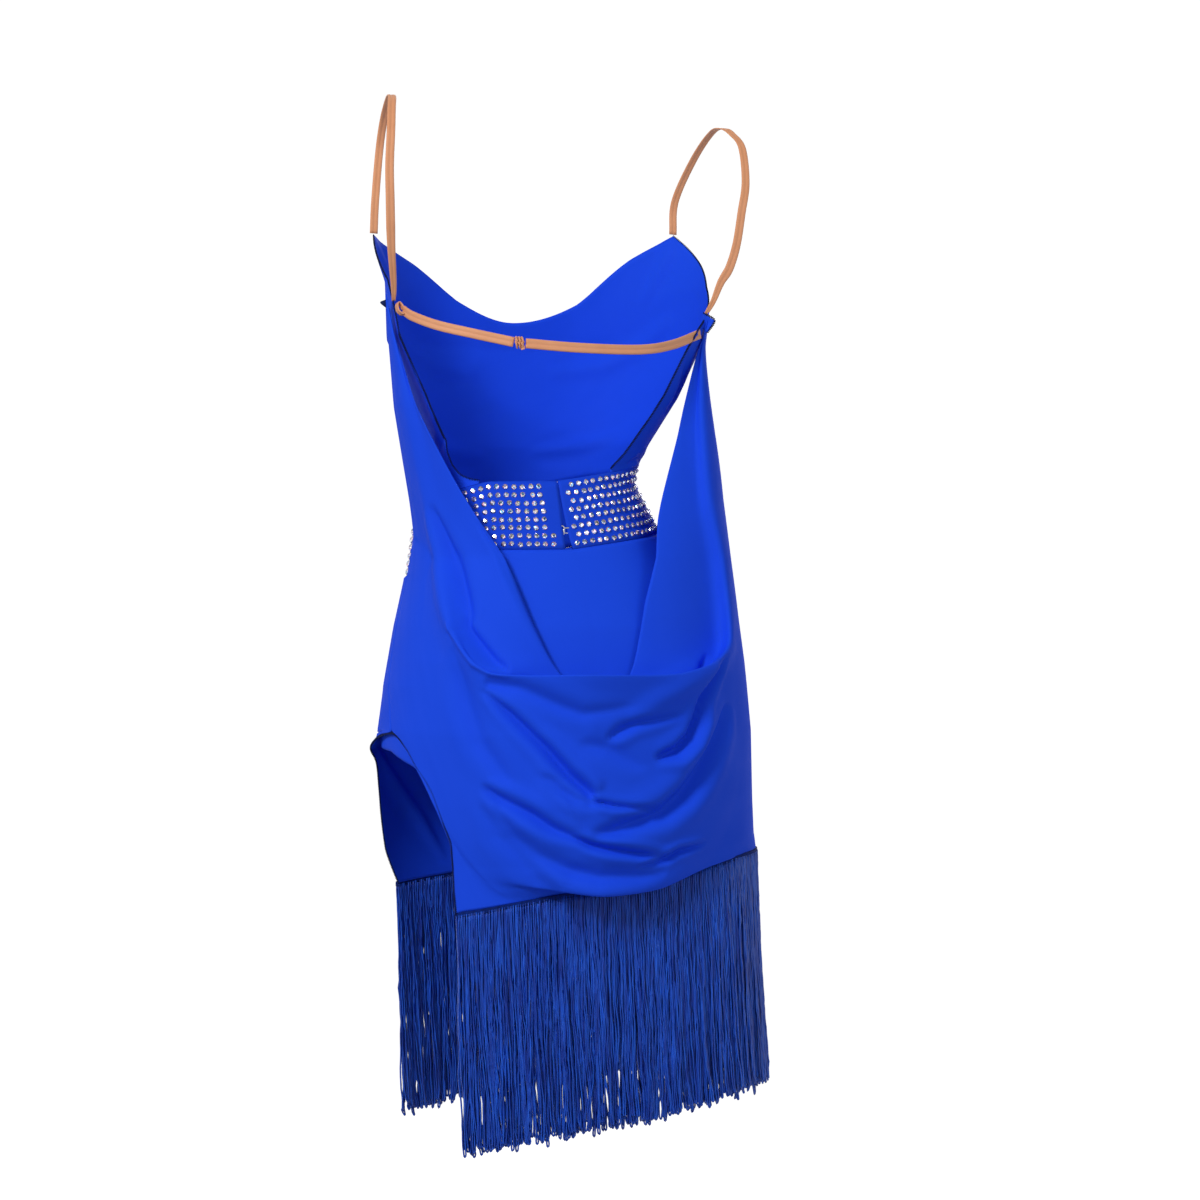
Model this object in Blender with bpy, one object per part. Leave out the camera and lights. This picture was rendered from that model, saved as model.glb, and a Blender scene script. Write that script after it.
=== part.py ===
"""A sleeveless Latin dance dress, as it hangs when worn: stretch bodice and brief, a stoned
waistband, a front skirt panel, a deep cowl drape across the open back, elastic straps and a
long thread fringe on both hems.

Metres, +Z up. The wearer faces +Y and their right hand is on +X. The origin is midway between
the places where the two straps cross the shoulders. A "turn" is an angle round the body in
degrees: 0 at the centre back (-Y), 90 at the wearer's right side, 180 at the centre front.
"""

import math

import bmesh
import bpy
import numpy as np

MM = 0.001
CLOTH = 1.5 * MM            # every cloth wall
SEAM = 0.3 * MM             # gap between two pieces that are sewn together
LIE_OUT = 0.4 * MM          # the middle of what lies on the body, out from FIGURE
ROUNDNESS = 2.25            # exponent of the body's oval: 2 is an ellipse

ROYAL_BLUE = (0.012, 0.055, 0.62)
DEEP_BLUE = (0.008, 0.030, 0.30)
NUDE = (0.62, 0.25, 0.12)
STEEL = (0.35, 0.36, 0.40)

# The close-fitting form that the bodice, band and brief lie on.
# height, centre x, centre y, half width, depth to the back, depth to the front, in mm
FIGURE = (
    (-90, -8.5, 5, 164.5, 85, 90),
    (-150, -9.5, 0, 143.5, 98, 108),
    (-200, -12.5, 0, 138.5, 96, 112),
    (-250, -13, 2, 116, 86, 98),
    (-290, -18.2, 5, 95.8, 80, 86),
    (-312, -25.1, 7, 91.7, 79, 85),
    (-325, -27, 8, 91.5, 79, 84),
    (-370, -19.3, 6, 107.3, 88, 90),
    (-410, -10.5, 3, 122.5, 100, 96),
    (-450, -5, 0, 138, 110, 99),
    (-500, -1, -3, 152, 117, 100),
    (-550, -1, -4, 157, 117, 100),
    (-600, 1, -4, 157, 113, 98),
    (-660, 2, -3, 152, 106, 96),
)

OVER_BRIEF = 3.2 * MM       # how far the skirt and drape stay off FIGURE where they touch it

# The looser form that the skirt and the drape hang on, same columns.
HANG = (
    (-170, -15.7, 0, 152.9, 85, 100),
    (-260, -6.7, 0, 149.1, 100, 100),
    (-340, 4.2, 0, 141.9, 115, 100),
    (-390, 11.4, 0, 139, 125, 100),
    (-440, 7.8, 0, 148.7, 133, 100),
    (-480, 5, 0, 156.8, 137, 102),
    (-540, 3.5, 0, 165.2, 135, 104),
    (-600, 4, 0, 167, 130, 104),
    (-650, 5, 0, 170, 122, 104),
    (-700, 5, 0, 170, 120, 104),
)

LEAVES_BODY = -0.385        # here the skirt begins to leave FIGURE for HANG,
HANGS_FREE = -0.510         # and here it has left it

# Waistband: turn, height of its lower edge in mm.
BAND_HEIGHT = 58 * MM
BAND_THICK = 2.0 * MM
STEP_TURN = 9                    # the band and the brief have a corner every so many degrees
BAND_LOWER = (
    (0, -383.5), (45, -373), (75, -366), (130, -374), (180, -388),
    (210, -400), (260, -407), (320, -384), (360, -383.5),
)
BACK_OPENING_TOP = 1.2 * MM      # width of the centre-back slit
BACK_OPENING_FOOT = 6.0 * MM
BACK_OPENING_LEAN = (1.5, -1.8)  # turn of its middle at the top and at the foot
WAIST_DEPTH = 85 * MM            # from the body's axis to the slit
HOOK_HEIGHT = 16 * MM            # middle of the hook above the band's lower edge
HOOK_SIZE = (2.4 * MM, 2.0 * MM, 9.0 * MM)
HOOK_ROUND = 0.5 * MM

# Bodice: turn from the centre back on either side, height of its upper edge in mm.
# It climbs from the band to the side corner at 75-86, then to the front strap point.
BODICE_RIGHT = (
    (37, -314), (43, -302), (52, -271), (56, -247), (61, -207), (72, -180),
    (88, -150), (102, -122), (113, -98), (128, -118), (150, -158), (180, -176),
)
BODICE_LEFT = (
    (45, -325), (50, -323.8), (56, -320.5), (63, -312), (69, -301), (74, -285), (78, -262),
    (80.5, -235), (82, -205), (87, -171), (90, -160), (95, -145), (102, -121), (105.4, -108),
    (118, -119), (128, -128), (152, -158), (180, -176),
)

RIGHT_CORNER_TURN = 72
LEFT_CORNER_TURN = 87
STRAP_TURN_RIGHT = 113
STRAP_TURN_LEFT = 105.4

# Brief: turn, height of the leg and crotch edge in mm.
BRIEF_LOWER = (
    (0, -640), (14, -638), (35, -612), (60, -575), (85, -552), (110, -540), (140, -560),
    (165, -612), (180, -622), (195, -612), (220, -566), (250, -552), (276, -556),
    (288, -567), (300, -582), (325, -616), (346, -638), (360, -640),
)
GUSSET_WIDTH = 54 * MM
GUSSET_SAG = 46 * MM

# Side seams of the skirt: height in mm, turn. Below its slit the left one is two free edges.
RIGHT_SEAM = ((-366, 92), (-430, 92), (-480, 91), (-560, 90.5), (-650, 90))
LEFT_SEAM = ((-380, 267), (-409, 267.3), (-445, 267.9), (-470, 269.4), (-490, 271.9),
             (-512, 275.3), (-539, 280))
BACK_SLIT = ((-541, 282.5), (-545, 285), (-553, 288.8), (-566, 292.3), (-579, 296.5),
             (-589, 298.8), (-604, 301), (-617, 302.4), (-631, 304.3), (-672, 304.7), (-691, 305.2))
FRONT_SLIT = ((-541, 275), (-542.5, 269), (-553, 263), (-575, 258), (-610, 254),
              (-645, 249.5), (-676, 242.5))
SEAM_TURN = 0.22            # gap at a side seam, as a turn on either side of it
SEAM_TOP = -0.395           # the drape's side edges are sewn to the skirt below this height,
SEAM_EASE = 0.03            # drawn in to the seam over this length
SEWN_LEFT = 0.12            # shares of the drape's width that each seam draws in
SEWN_RIGHT = 0.16
FRONT_HEM = ((90, -644), (180, -660), (242.5, -676))

# The cowl drape: one line across the cloth for each edge or fold, from the wearer's left to
# their right. Each place is a turn, a height in mm and how far the cloth stands off HANG in mm.
DRAPE_STATIONS = (
    "left edge", "left upper wing", "left lower wing", "left elbow", "left inner",
    "centre", "right inner", "right elbow", "right lower wing", "right upper wing", "right edge",
)
DRAPE_LINES = (
    ("neck edge", (-87, -176, -11), (-72, -263, -1), (-57.5, -334, 0), (-39, -411, -5),
     (-22, -480, -10), (-3, -529, -5), (10, -484, -14), (18, -427, -21), (33.5, -358, -26),
     (57, -281, -22), (71, -186, -2)),
    ("inside pouch", (-87, -175, -9), (-74, -261, -3), (-66, -352, -1), (-51, -450, 2),
     (-33, -510, 5), (-7, -554, 4), (21, -518, -1), (47, -465, -12), (51, -358, -13),
     (63, -270, -13), (72, -184, -3)),
    ("crest", (-86, -174, -7), (-79, -256, -1), (-74, -358, 3), (-56, -450, 9),
     (-40, -487, 14), (-10, -489, 30), (21, -488, 20), (49, -461, 5), (56, -349, 0),
     (65, -261, -3), (73, -183, -4)),
    ("swag", (-91, -314, -2), (-86, -375, 0), (-76, -427, 0), (-60, -473, 2), (-42, -517, 8),
     (-9, -539, 18), (24, -521, 12), (52, -485, 2), (72, -435, 0), (79, -365, -2),
     (84, -287, -22)),
    ("belly", (-93, -409, 0), (-81, -445, 0), (-70, -482, 0), (-58, -523, 2), (-40, -572, 10),
     (-8, -605, 24), (27, -578, 14), (53, -530, 2), (74, -483, 0), (82, -430, -5),
     (92, -392, -43)),
    ("lower belly", (-86, -504, 0), (-75, -524, 0), (-65, -549, 0), (-55, -586, 2),
     (-38, -625, 10), (-5, -648, 24), (28, -628, 14), (54, -586, 2), (72, -549, 0),
     (82, -514, -2), (91, -479, -12)),
    ("lip", (-71, -558, -1), (-64, -582, 0), (-58, -610, 0), (-49, -643, 2), (-29, -664, 10),
     (-5, -674, 22), (19, -669, 14), (43, -650, 3), (70, -633, 0), (82, -615, -1),
     (90.5, -602, -2)),
    ("tuck", (-57, -632, -1), (-53, -642, -1), (-50, -653, -1), (-42, -668, 0), (-26, -667, 3),
     (-4, -657, 2), (18, -652, 1), (42, -648, 0), (64, -640, 0), (79, -631, 0), (90, -622, 0)),
    ("hem", (-55, -691, -2), (-49, -687, -2), (-43, -684, -3), (-35, -680, -4), (-23, -675, -5),
     (-2, -669, -6), (20, -663, -5), (41, -654, -3), (56, -647, 0), (75, -644, 1),
     (90, -642, 1)),
)

# Smaller folds pressed into the drape: width and depth in mm, then where the fold runs, each
# place a turn and a height in mm. A negative depth is a hollow, a positive one a ridge.
FOLDS = (
    ("under crest", 12, -5, (-42, -495), (-28, -503), (-12, -520), (5, -515)),
    ("long left", 11, -9, (-40, -503), (-30, -533), (-19, -565), (-6, -591)),
    ("left ridge", 12, 5, (-36, -497), (-24, -528), (-13, -556), (0, -580)),
    ("right hook", 11, -10, (41, -479), (31, -520), (25, -545), (18, -563)),
    ("right long", 12, -11, (40, -525), (33, -571), (18, -602), (-6, -622)),
    ("right ridge", 11, 5, (36, -520), (29, -556), (15, -585), (0, -604)),
    ("middle", 10, -6, (-20, -580), (-5, -596), (14, -601)),
    ("lower", 12, -9, (-42, -585), (-28, -603), (-10, -629), (17, -641), (36, -636)),
    ("lower ridge", 12, 5, (-38, -606), (-24, -630), (-4, -652), (20, -656)),
    ("left soft", 16, -4, (-54, -460), (-49, -506), (-43, -545), (-31, -581)),
)
FOLD_RADIUS = 150           # mm, turns a turn into a length along the cloth
PULL_ACROSS = 0.3           # how round the drape's lines turn: 0.5 is roundest

DRAPE_ACROSS = 42           # cells of the mesh from edge to edge
DRAPE_DOWN = 36             # and from the neck edge to the hem

# Straps: flat elastic. Widths and places in mm; the back strap has a knot a third of the way along.
STRAP_WIDTH = 8.5
STRAP_THICK = 1.6 * MM
STRAP_END = 1.5 * MM        # its middle line stops this far over the bodice's edge
GATHERED = 3.2              # a shoulder strap's width where it is gathered at its back end
LEFT_STRAP = (
    (-155, 45, -77), (-150, 50, -33), (-149, 38, -7), (-150, 15, 8), (-152, -2, 7),
    (-156, -16, -4), (-160, -29, -27), (-163, -36, -57), (-163, -38, -87), (-160, -30, -124),
    (-154, -15, -156),
)
RIGHT_STRAP = (
    (129, 64, -66), (140, 44, -30), (148, 18, -9), (152, 0, -8), (157, -10, -14),
    (161, -24, -28), (159, -38, -60), (153, -44, -87), (148, -45, -115), (141, -46, -136),
    (133, -46, -149), (126, -45, -166),
)
BACK_STRAP_LEFT = (
    (-145.5, -15, -178), (-140, -26, -184), (-124, -48, -193), (-98, -69, -201),
    (-67.4, -84.6, -208.6),
)
BACK_STRAP_RIGHT = (
    (-57.8, -88, -209.6), (-13, -97, -213), (42, -93, -213), (77, -77, -207),
    (111.3, -52.6, -195),
)
KNOT_CENTRE = (-63, -87, -209)
KNOT_SIZE = (10.5, 6, 10)

# Fringe: threads gathered into locks, three-sided, hanging from a narrow tape.
TAPE_HEIGHT = 6 * MM
TAPE_THICK = 2.0 * MM
BACK_TAPE_DROP = 1.0 * MM   # each tape starts this far under the middle line of its hem,
FRONT_TAPE_DROP = 0.45 * MM  # the back one lower because the drape's hem leans
FRINGE_LENGTH = 203 * MM
LOCKS_BACK = 100
LOCKS_FRONT = 90
FRINGE_LEAN = 8 * MM        # towards +X at the tips
LOCK_BEND = 0.55            # share of a lock's length above its bend
LOCK_SWAY = 1.6 * MM        # how far a lock's tip wanders sideways
LOCK_SPREAD = 1.2 * MM      # and in and out
SKIRT_TAPE_INSET = 0.4      # turn left bare at either end of the front tape


# ---------------------------------------------------------------- forms

def spline(keys, place, pull=0.5):
    """A smooth curve through keys (one a row), read at place: 0 is the first, 1 the second.
    A smaller pull makes the curve straighter between keys and turn more sharply at them."""
    keys = np.asarray(keys, float)
    i = int(min(max(math.floor(place), 0), len(keys) - 2))
    t = place - i
    before = keys[i - 1] if i > 0 else 2 * keys[0] - keys[1]
    after = keys[i + 2] if i + 2 < len(keys) else 2 * keys[-1] - keys[-2]
    a, b = keys[i], keys[i + 1]
    start, end = pull * (b - before), pull * (after - a)
    return (a + start * t + (3 * (b - a) - 2 * start - end) * t ** 2
            + (2 * (a - b) + start + end) * t ** 3)


def column(table, at):
    """The second column of a two-column table, read at a value of the first."""
    first = [row[0] for row in table]
    second = [row[1] for row in table]
    if first[0] > first[-1]:
        first, second = first[::-1], second[::-1]
    return float(np.interp(at, first, second))


def oval(form, turn, height, out=0.0):
    """The point of a form at a turn and a height in metres, moved out from its axis."""
    depth = [-row[0] * MM for row in form]
    cx, cy, side, back, front = (
        float(np.interp(-height, depth, [row[k] * MM for row in form])) for k in range(1, 6)
    )
    s, c = math.sin(math.radians(turn)), math.cos(math.radians(turn))
    deep = back if c > 0 else front
    radius = (abs(s / side) ** ROUNDNESS + abs(c / deep) ** ROUNDNESS) ** (-1 / ROUNDNESS) + out
    return np.array([cx + radius * s, cy - radius * c, height])


def oval_centre(height):
    """The axis of the body at a height."""
    depth = [-row[0] * MM for row in FIGURE]
    return [float(np.interp(-height, depth, [row[k] * MM for row in FIGURE])) for k in (1, 2)]


def skirt_skin(turn, height, out=0.0):
    """The skirt's form: close to the body under the band, then out to HANG over the hips."""
    close = oval(FIGURE, turn, height, out + OVER_BRIEF)
    loose = oval(HANG, turn, height, out)
    ease = min(max((LEAVES_BODY - height) / (LEAVES_BODY - HANGS_FREE), 0.0), 1.0)
    ease = ease * ease * (3 - 2 * ease)
    return close + (loose - close) * ease


def clear_of_body(point):
    """A point that is nearer to the body than OVER_BRIEF, moved out to rest on it."""
    x, y, height = point
    turn = math.degrees(math.atan2(x - oval_centre(height)[0], oval_centre(height)[1] - y))
    limit = oval(FIGURE, turn, height, OVER_BRIEF)
    centre = np.array([*oval_centre(height), height])
    reach = np.linalg.norm(limit - centre)
    here = np.linalg.norm(point - centre)
    ease = 4 * MM
    pushed = 0.5 * (here + reach + math.hypot(here - reach, ease)) - ease / 2
    return centre + (point - centre) / here * max(pushed, reach)


# ---------------------------------------------------------------- solids

def material(name, colour, roughness, metallic=0.0):
    made = bpy.data.materials.new(name)
    made.use_nodes = True
    shader = made.node_tree.nodes["Principled BSDF"]
    shader.inputs["Base Color"].default_value = (*colour, 1.0)
    shader.inputs["Roughness"].default_value = roughness
    shader.inputs["Metallic"].default_value = metallic
    made.diffuse_color = (*colour, 1.0)
    return made


def solid(name, points, faces, finish, smooth=True):
    mesh = bpy.data.meshes.new(name)
    mesh.from_pydata([tuple(p) for p in points], [], faces)
    bm = bmesh.new()
    bm.from_mesh(mesh)
    bmesh.ops.recalc_face_normals(bm, faces=bm.faces)
    if bm.calc_volume(signed=True) < 0:
        bmesh.ops.reverse_faces(bm, faces=bm.faces)
    bm.to_mesh(mesh)
    bm.free()
    if smooth:
        mesh.shade_smooth()
        mesh.set_sharp_from_angle(angle=math.radians(50))
    mesh.materials.append(finish)
    made = bpy.data.objects.new(name, mesh)
    bpy.context.scene.collection.objects.link(made)
    return made


def cloth(name, grid, finish, thick=CLOTH, tube=False):
    """A wall of even thickness about a grid of points: rows down the cloth, columns across."""
    grid = np.asarray(grid, float)
    rows, cols = grid.shape[:2]
    down = np.gradient(grid, axis=0)
    if tube:
        across = np.roll(grid, -1, axis=1) - np.roll(grid, 1, axis=1)
    else:
        across = np.gradient(grid, axis=1)
    normal = np.cross(down, across)
    normal /= np.linalg.norm(normal, axis=2, keepdims=True)
    points = np.concatenate([(grid + normal * thick / 2).reshape(-1, 3),
                             (grid - normal * thick / 2).reshape(-1, 3)])
    last = cols if tube else cols - 1
    faces = []

    def corner(side, row, col):
        return side * rows * cols + row * cols + col % cols

    for row in range(rows - 1):
        for col in range(last):
            for side in (0, 1):
                quad = [corner(side, row, col), corner(side, row, col + 1),
                        corner(side, row + 1, col + 1), corner(side, row + 1, col)]
                faces.append(quad if side else quad[::-1])
    for row in (0, rows - 1):
        for col in range(last):
            faces.append([corner(0, row, col), corner(0, row, col + 1),
                          corner(1, row, col + 1), corner(1, row, col)])
    if not tube:
        for col in (0, cols - 1):
            for row in range(rows - 1):
                faces.append([corner(0, row, col), corner(0, row + 1, col),
                              corner(1, row + 1, col), corner(1, row, col)])
    return solid(name, points, faces, finish)


def ribbon(name, places, widths, width_way, finish, steps=26):
    """A flat strap along a smooth line through places in mm, its width lying along width_way.
    Its widths in mm are evenly spaced along it."""
    line = [spline(places, k * (len(places) - 1) / steps) * MM for k in range(steps + 1)]
    points, faces = [], []
    for k, here in enumerate(line):
        ahead = line[min(k + 1, steps)] - line[max(k - 1, 0)]
        ahead /= np.linalg.norm(ahead)
        wide = np.array(width_way, float)
        wide -= ahead * wide.dot(ahead)
        wide /= np.linalg.norm(wide)
        thin = np.cross(ahead, wide)
        width = np.interp(k / steps * (len(widths) - 1), range(len(widths)), widths) * MM
        for a, b in ((1, 1), (-1, 1), (-1, -1), (1, -1)):
            points.append(here + wide * a * width / 2 + thin * b * STRAP_THICK / 2)
    for k in range(steps):
        for side in range(4):
            other = (side + 1) % 4
            faces.append([4 * k + side, 4 * k + other, 4 * k + 4 + other, 4 * k + 4 + side])
    faces += [[0, 1, 2, 3], [4 * steps + n for n in (3, 2, 1, 0)]]
    return solid(name, points, faces, finish)


# ---------------------------------------------------------------- pieces

def band_lower(turn):
    return column(BAND_LOWER, turn % 360) * MM


def opening_middle(up):
    """Turn of the back opening's middle at a share of the band's height."""
    top, foot = BACK_OPENING_LEAN
    return foot + (top - foot) * up


def waistband(finish):
    """A stiff band round the waist, open at the centre back in a slit that widens downwards."""
    rows = 5
    grid = []
    for row in range(rows + 1):
        up = row / rows
        gap = BACK_OPENING_TOP + (BACK_OPENING_FOOT - BACK_OPENING_TOP) * (1 - up) ** 2
        spare = math.degrees(gap / 2 / WAIST_DEPTH)
        middle = opening_middle(up)
        turns = [middle + spare, *range(STEP_TURN, 360, STEP_TURN), 360 + middle - spare]
        grid.append([oval(FIGURE, turn, band_lower(turn) + BAND_HEIGHT * up, LIE_OUT)
                     for turn in turns])
    return cloth("waistband", grid, finish, BAND_THICK)


def waistband_hook(finish):
    """The hook that closes the band, in the slit between its two ends."""
    turn = opening_middle(HOOK_HEIGHT / BAND_HEIGHT)
    middle = oval(FIGURE, turn, band_lower(0) + HOOK_HEIGHT, LIE_OUT)
    bm = bmesh.new()
    bmesh.ops.create_cube(bm, size=1.0)
    for vert in bm.verts:
        vert.co = [side * size for side, size in zip(vert.co, HOOK_SIZE)]
    bmesh.ops.bevel(bm, geom=bm.edges[:], offset=HOOK_ROUND, segments=2, affect="EDGES")
    points = [np.array(vert.co) + middle for vert in bm.verts]
    faces = [[vert.index for vert in face.verts] for face in bm.faces]
    bm.free()
    return solid("waistband_hook", points, faces, finish)


def bodice_upper(turn):
    """Height of the bodice's upper edge; turn runs from 0 to 360."""
    table = BODICE_RIGHT if turn <= 180 else BODICE_LEFT
    turn = turn if turn <= 180 else 360 - turn
    n = max(k for k in range(len(table) - 1) if table[k][0] <= turn + 1e-6)
    (a, low), (b, high) = table[n], table[n + 1]
    slope = (high - low) / (b - a)
    t = (turn - a) / (b - a)
    start = 0.5 * (slope + (low - table[n - 1][1]) / (a - table[n - 1][0])) if n else slope
    end = 0.0 if b == 180 else slope
    if a in (STRAP_TURN_RIGHT, STRAP_TURN_LEFT, RIGHT_CORNER_TURN, LEFT_CORNER_TURN):
        start = slope
    ease = (b - a) * ((start - slope) * t * (1 - t) ** 2 - (end - slope) * t * t * (1 - t))
    return (low + (high - low) * t + ease) * MM


def front_bodice(finish):
    """Front and both sides in one piece, from the band up to the strap points."""
    turns = ([row[0] for row in BODICE_RIGHT]
             + [360 - row[0] for row in BODICE_LEFT[::-1][1:]])
    across = []
    for a, b in zip(turns, turns[1:]):
        pieces = max(1, round((b - a) / STEP_TURN))
        across += [a + (b - a) * k / pieces for k in range(pieces)]
    across.append(turns[-1])
    rows = 9
    grid = []
    for row in range(rows + 1):
        line = []
        for turn in across:
            foot = band_lower(turn) + BAND_HEIGHT + 1.6 * SEAM
            top = bodice_upper(turn)
            line.append(oval(FIGURE, turn, foot + (top - foot) * row / rows, LIE_OUT))
        grid.append(line)
    return cloth("front_bodice", grid, finish)


def brief(finish):
    """A close tube over the hips whose lower edge rises at each leg."""
    around, rows = 360 // STEP_TURN, 8
    grid = []
    for row in range(rows + 1):
        line = []
        for k in range(around):
            turn = STEP_TURN * k
            top = band_lower(turn) - SEAM
            foot = column(BRIEF_LOWER, turn) * MM
            line.append(oval(FIGURE, turn, top + (foot - top) * row / rows, LIE_OUT))
        grid.append(line)
    return cloth("brief", grid, finish, tube=True)


def gusset(finish):
    """The strip between the legs that joins the brief's front to its back."""
    back = oval(FIGURE, 0, column(BRIEF_LOWER, 0) * MM, LIE_OUT)
    front = oval(FIGURE, 180, column(BRIEF_LOWER, 180) * MM, LIE_OUT)
    back = back + np.array([0, 0, -2 * SEAM])
    front = front + np.array([0, 0, -2 * SEAM])
    steps, across = 14, 4
    grid = []
    for k in range(steps + 1):
        t = k / steps
        place = back + (front - back) * (0.5 - 0.5 * math.cos(math.pi * t))
        drop = GUSSET_SAG * math.sin(math.pi * t) ** 0.8
        waist = 1 - 0.25 * math.sin(math.pi * t)
        grid.append([place + np.array([GUSSET_WIDTH * waist * (n / across - 0.5), 0, -drop])
                     for n in range(across + 1)])
    return cloth("gusset", grid, finish)


def front_skirt(finish):
    """The front panel, from the band to the hem and from side seam to side seam."""
    across, rows = 26, 13
    grid = []
    for row in range(rows + 1):
        line = []
        for k in range(across + 1):
            u = k / across
            turn = 180.0
            for _ in range(4):
                top = band_lower(turn) - 3 * SEAM
                foot = column(FRONT_HEM, turn) * MM
                height = top + (foot - top) * row / rows
                right = column(RIGHT_SEAM, height / MM) + SEAM_TURN
                left = column(LEFT_SEAM + FRONT_SLIT, height / MM) - SEAM_TURN
                turn = right + (left - right) * u
            line.append(clear_of_body(skirt_skin(turn, height)))
        grid.append(line)
    return cloth("front_skirt", grid, finish)


def fold_depth(turn, height):
    """How far the FOLDS move the cloth at a turn and a height in mm."""
    here = np.array([math.radians(turn) * FOLD_RADIUS, height])
    total = 0.0
    for _, width, depth, *places in FOLDS:
        line = [np.array([math.radians(place[0]) * FOLD_RADIUS, place[1]]) for place in places]
        nearest, along = 1e9, 0.0
        for n, (a, b) in enumerate(zip(line, line[1:])):
            t = min(max(float((here - a) @ (b - a) / ((b - a) @ (b - a))), 0.0), 1.0)
            gap = float(np.linalg.norm(here - a - (b - a) * t))
            if gap < nearest:
                nearest, along = gap, (n + t) / (len(line) - 1)
        fade = math.sin(math.pi * min(max(along, 0.0), 1.0)) ** 0.5
        total += depth * fade * math.exp(-((nearest / width) ** 2))
    return total


def drape_point(u, v):
    """A point of the drape: u from the left edge to the right, v from neck edge to hem."""
    place = v * (len(DRAPE_LINES) - 1)
    across = u * (len(DRAPE_STATIONS) - 1)
    lines = [spline([line[1 + n] for n in range(len(DRAPE_STATIONS))], across, PULL_ACROSS)
             for line in DRAPE_LINES]
    turn, height, out = spline(lines, place)
    out += fold_depth(turn, height)
    sewn = min(max((SEAM_TOP - height * MM) / SEAM_EASE, 0.0), 1.0)
    near_left = max(1 - u / SEWN_LEFT, 0.0) ** 2 * sewn
    near_right = max(1 - (1 - u) / SEWN_RIGHT, 0.0) ** 1.5 * sewn
    left_turn = column(LEFT_SEAM + BACK_SLIT, height) - 360 + SEAM_TURN
    right_turn = column(RIGHT_SEAM, height) - SEAM_TURN
    turn += (left_turn - turn) * near_left + (right_turn - turn) * near_right
    loose = oval(HANG, turn, height * MM, out * MM)
    sewn_down = skirt_skin(turn, height * MM)
    at_edge = max(near_left, near_right)
    return clear_of_body(loose + (sewn_down - loose) * at_edge)


def cowl_drape(finish):
    grid = [[drape_point(k / DRAPE_ACROSS, row / DRAPE_DOWN) for k in range(DRAPE_ACROSS + 1)]
            for row in range(DRAPE_DOWN + 1)]
    return cloth("cowl_drape", grid, finish)


def fringe(name, hem, drop, locks, finish):
    """A tape under the hem with one three-sided lock hanging from every other cell of it."""
    stations = 2 * locks
    line = [spline(hem, k * (len(hem) - 1) / stations) for k in range(stations + 1)]
    points, faces = [], []
    for k, here in enumerate(line):
        ahead = line[min(k + 1, stations)] - line[max(k - 1, 0)]
        out = np.array([ahead[1], -ahead[0], 0.0])
        out /= np.linalg.norm(out)
        top = here - np.array([0, 0, drop])
        foot = top - np.array([0, 0, TAPE_HEIGHT])
        points += [top, foot + out * TAPE_THICK / 2, foot - out * TAPE_THICK / 2]
    for k in range(stations):
        a, b = 3 * k, 3 * k + 3
        faces += [[a, b, b + 1, a + 1], [a, a + 2, b + 2, b]]
        if k % 2:
            faces.append([a + 1, b + 1, b + 2, a + 2])
            continue
        faces.append([b + 1, b + 2, a + 2])
        root = [a + 1, b + 1, a + 2]
        sway = math.sin(k * 2.399) + 0.5 * math.sin(k * 0.37)
        length = FRINGE_LENGTH * (1 + 0.018 * math.sin(k * 1.7) + 0.012 * math.sin(k * 0.61))
        half = len(points)
        bend = np.array([(LOCK_SWAY * sway + FRINGE_LEAN) / 2, 0, -length * LOCK_BEND])
        points += [points[n] + bend for n in root]
        tip = len(points)
        middle = sum(points[n] for n in root) / 3
        points.append(middle + np.array([LOCK_SWAY * sway + FRINGE_LEAN,
                                         LOCK_SPREAD * math.cos(k), -length]))
        for n in range(3):
            m = (n + 1) % 3
            faces.append([root[n], root[m], half + m, half + n])
            faces.append([half + n, half + m, tip])
    faces += [[0, 1, 2], [3 * stations, 3 * stations + 2, 3 * stations + 1]]
    return solid(name, points, faces, finish, smooth=False)


def knot(finish):
    bm = bmesh.new()
    bmesh.ops.create_icosphere(bm, subdivisions=2, radius=0.5)
    points = [np.array(vert.co) * np.array(KNOT_SIZE) * MM + np.array(KNOT_CENTRE) * MM
              for vert in bm.verts]
    faces = [[vert.index for vert in face.verts] for face in bm.faces]
    bm.free()
    return solid("strap_knot", points, faces, finish)


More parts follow.
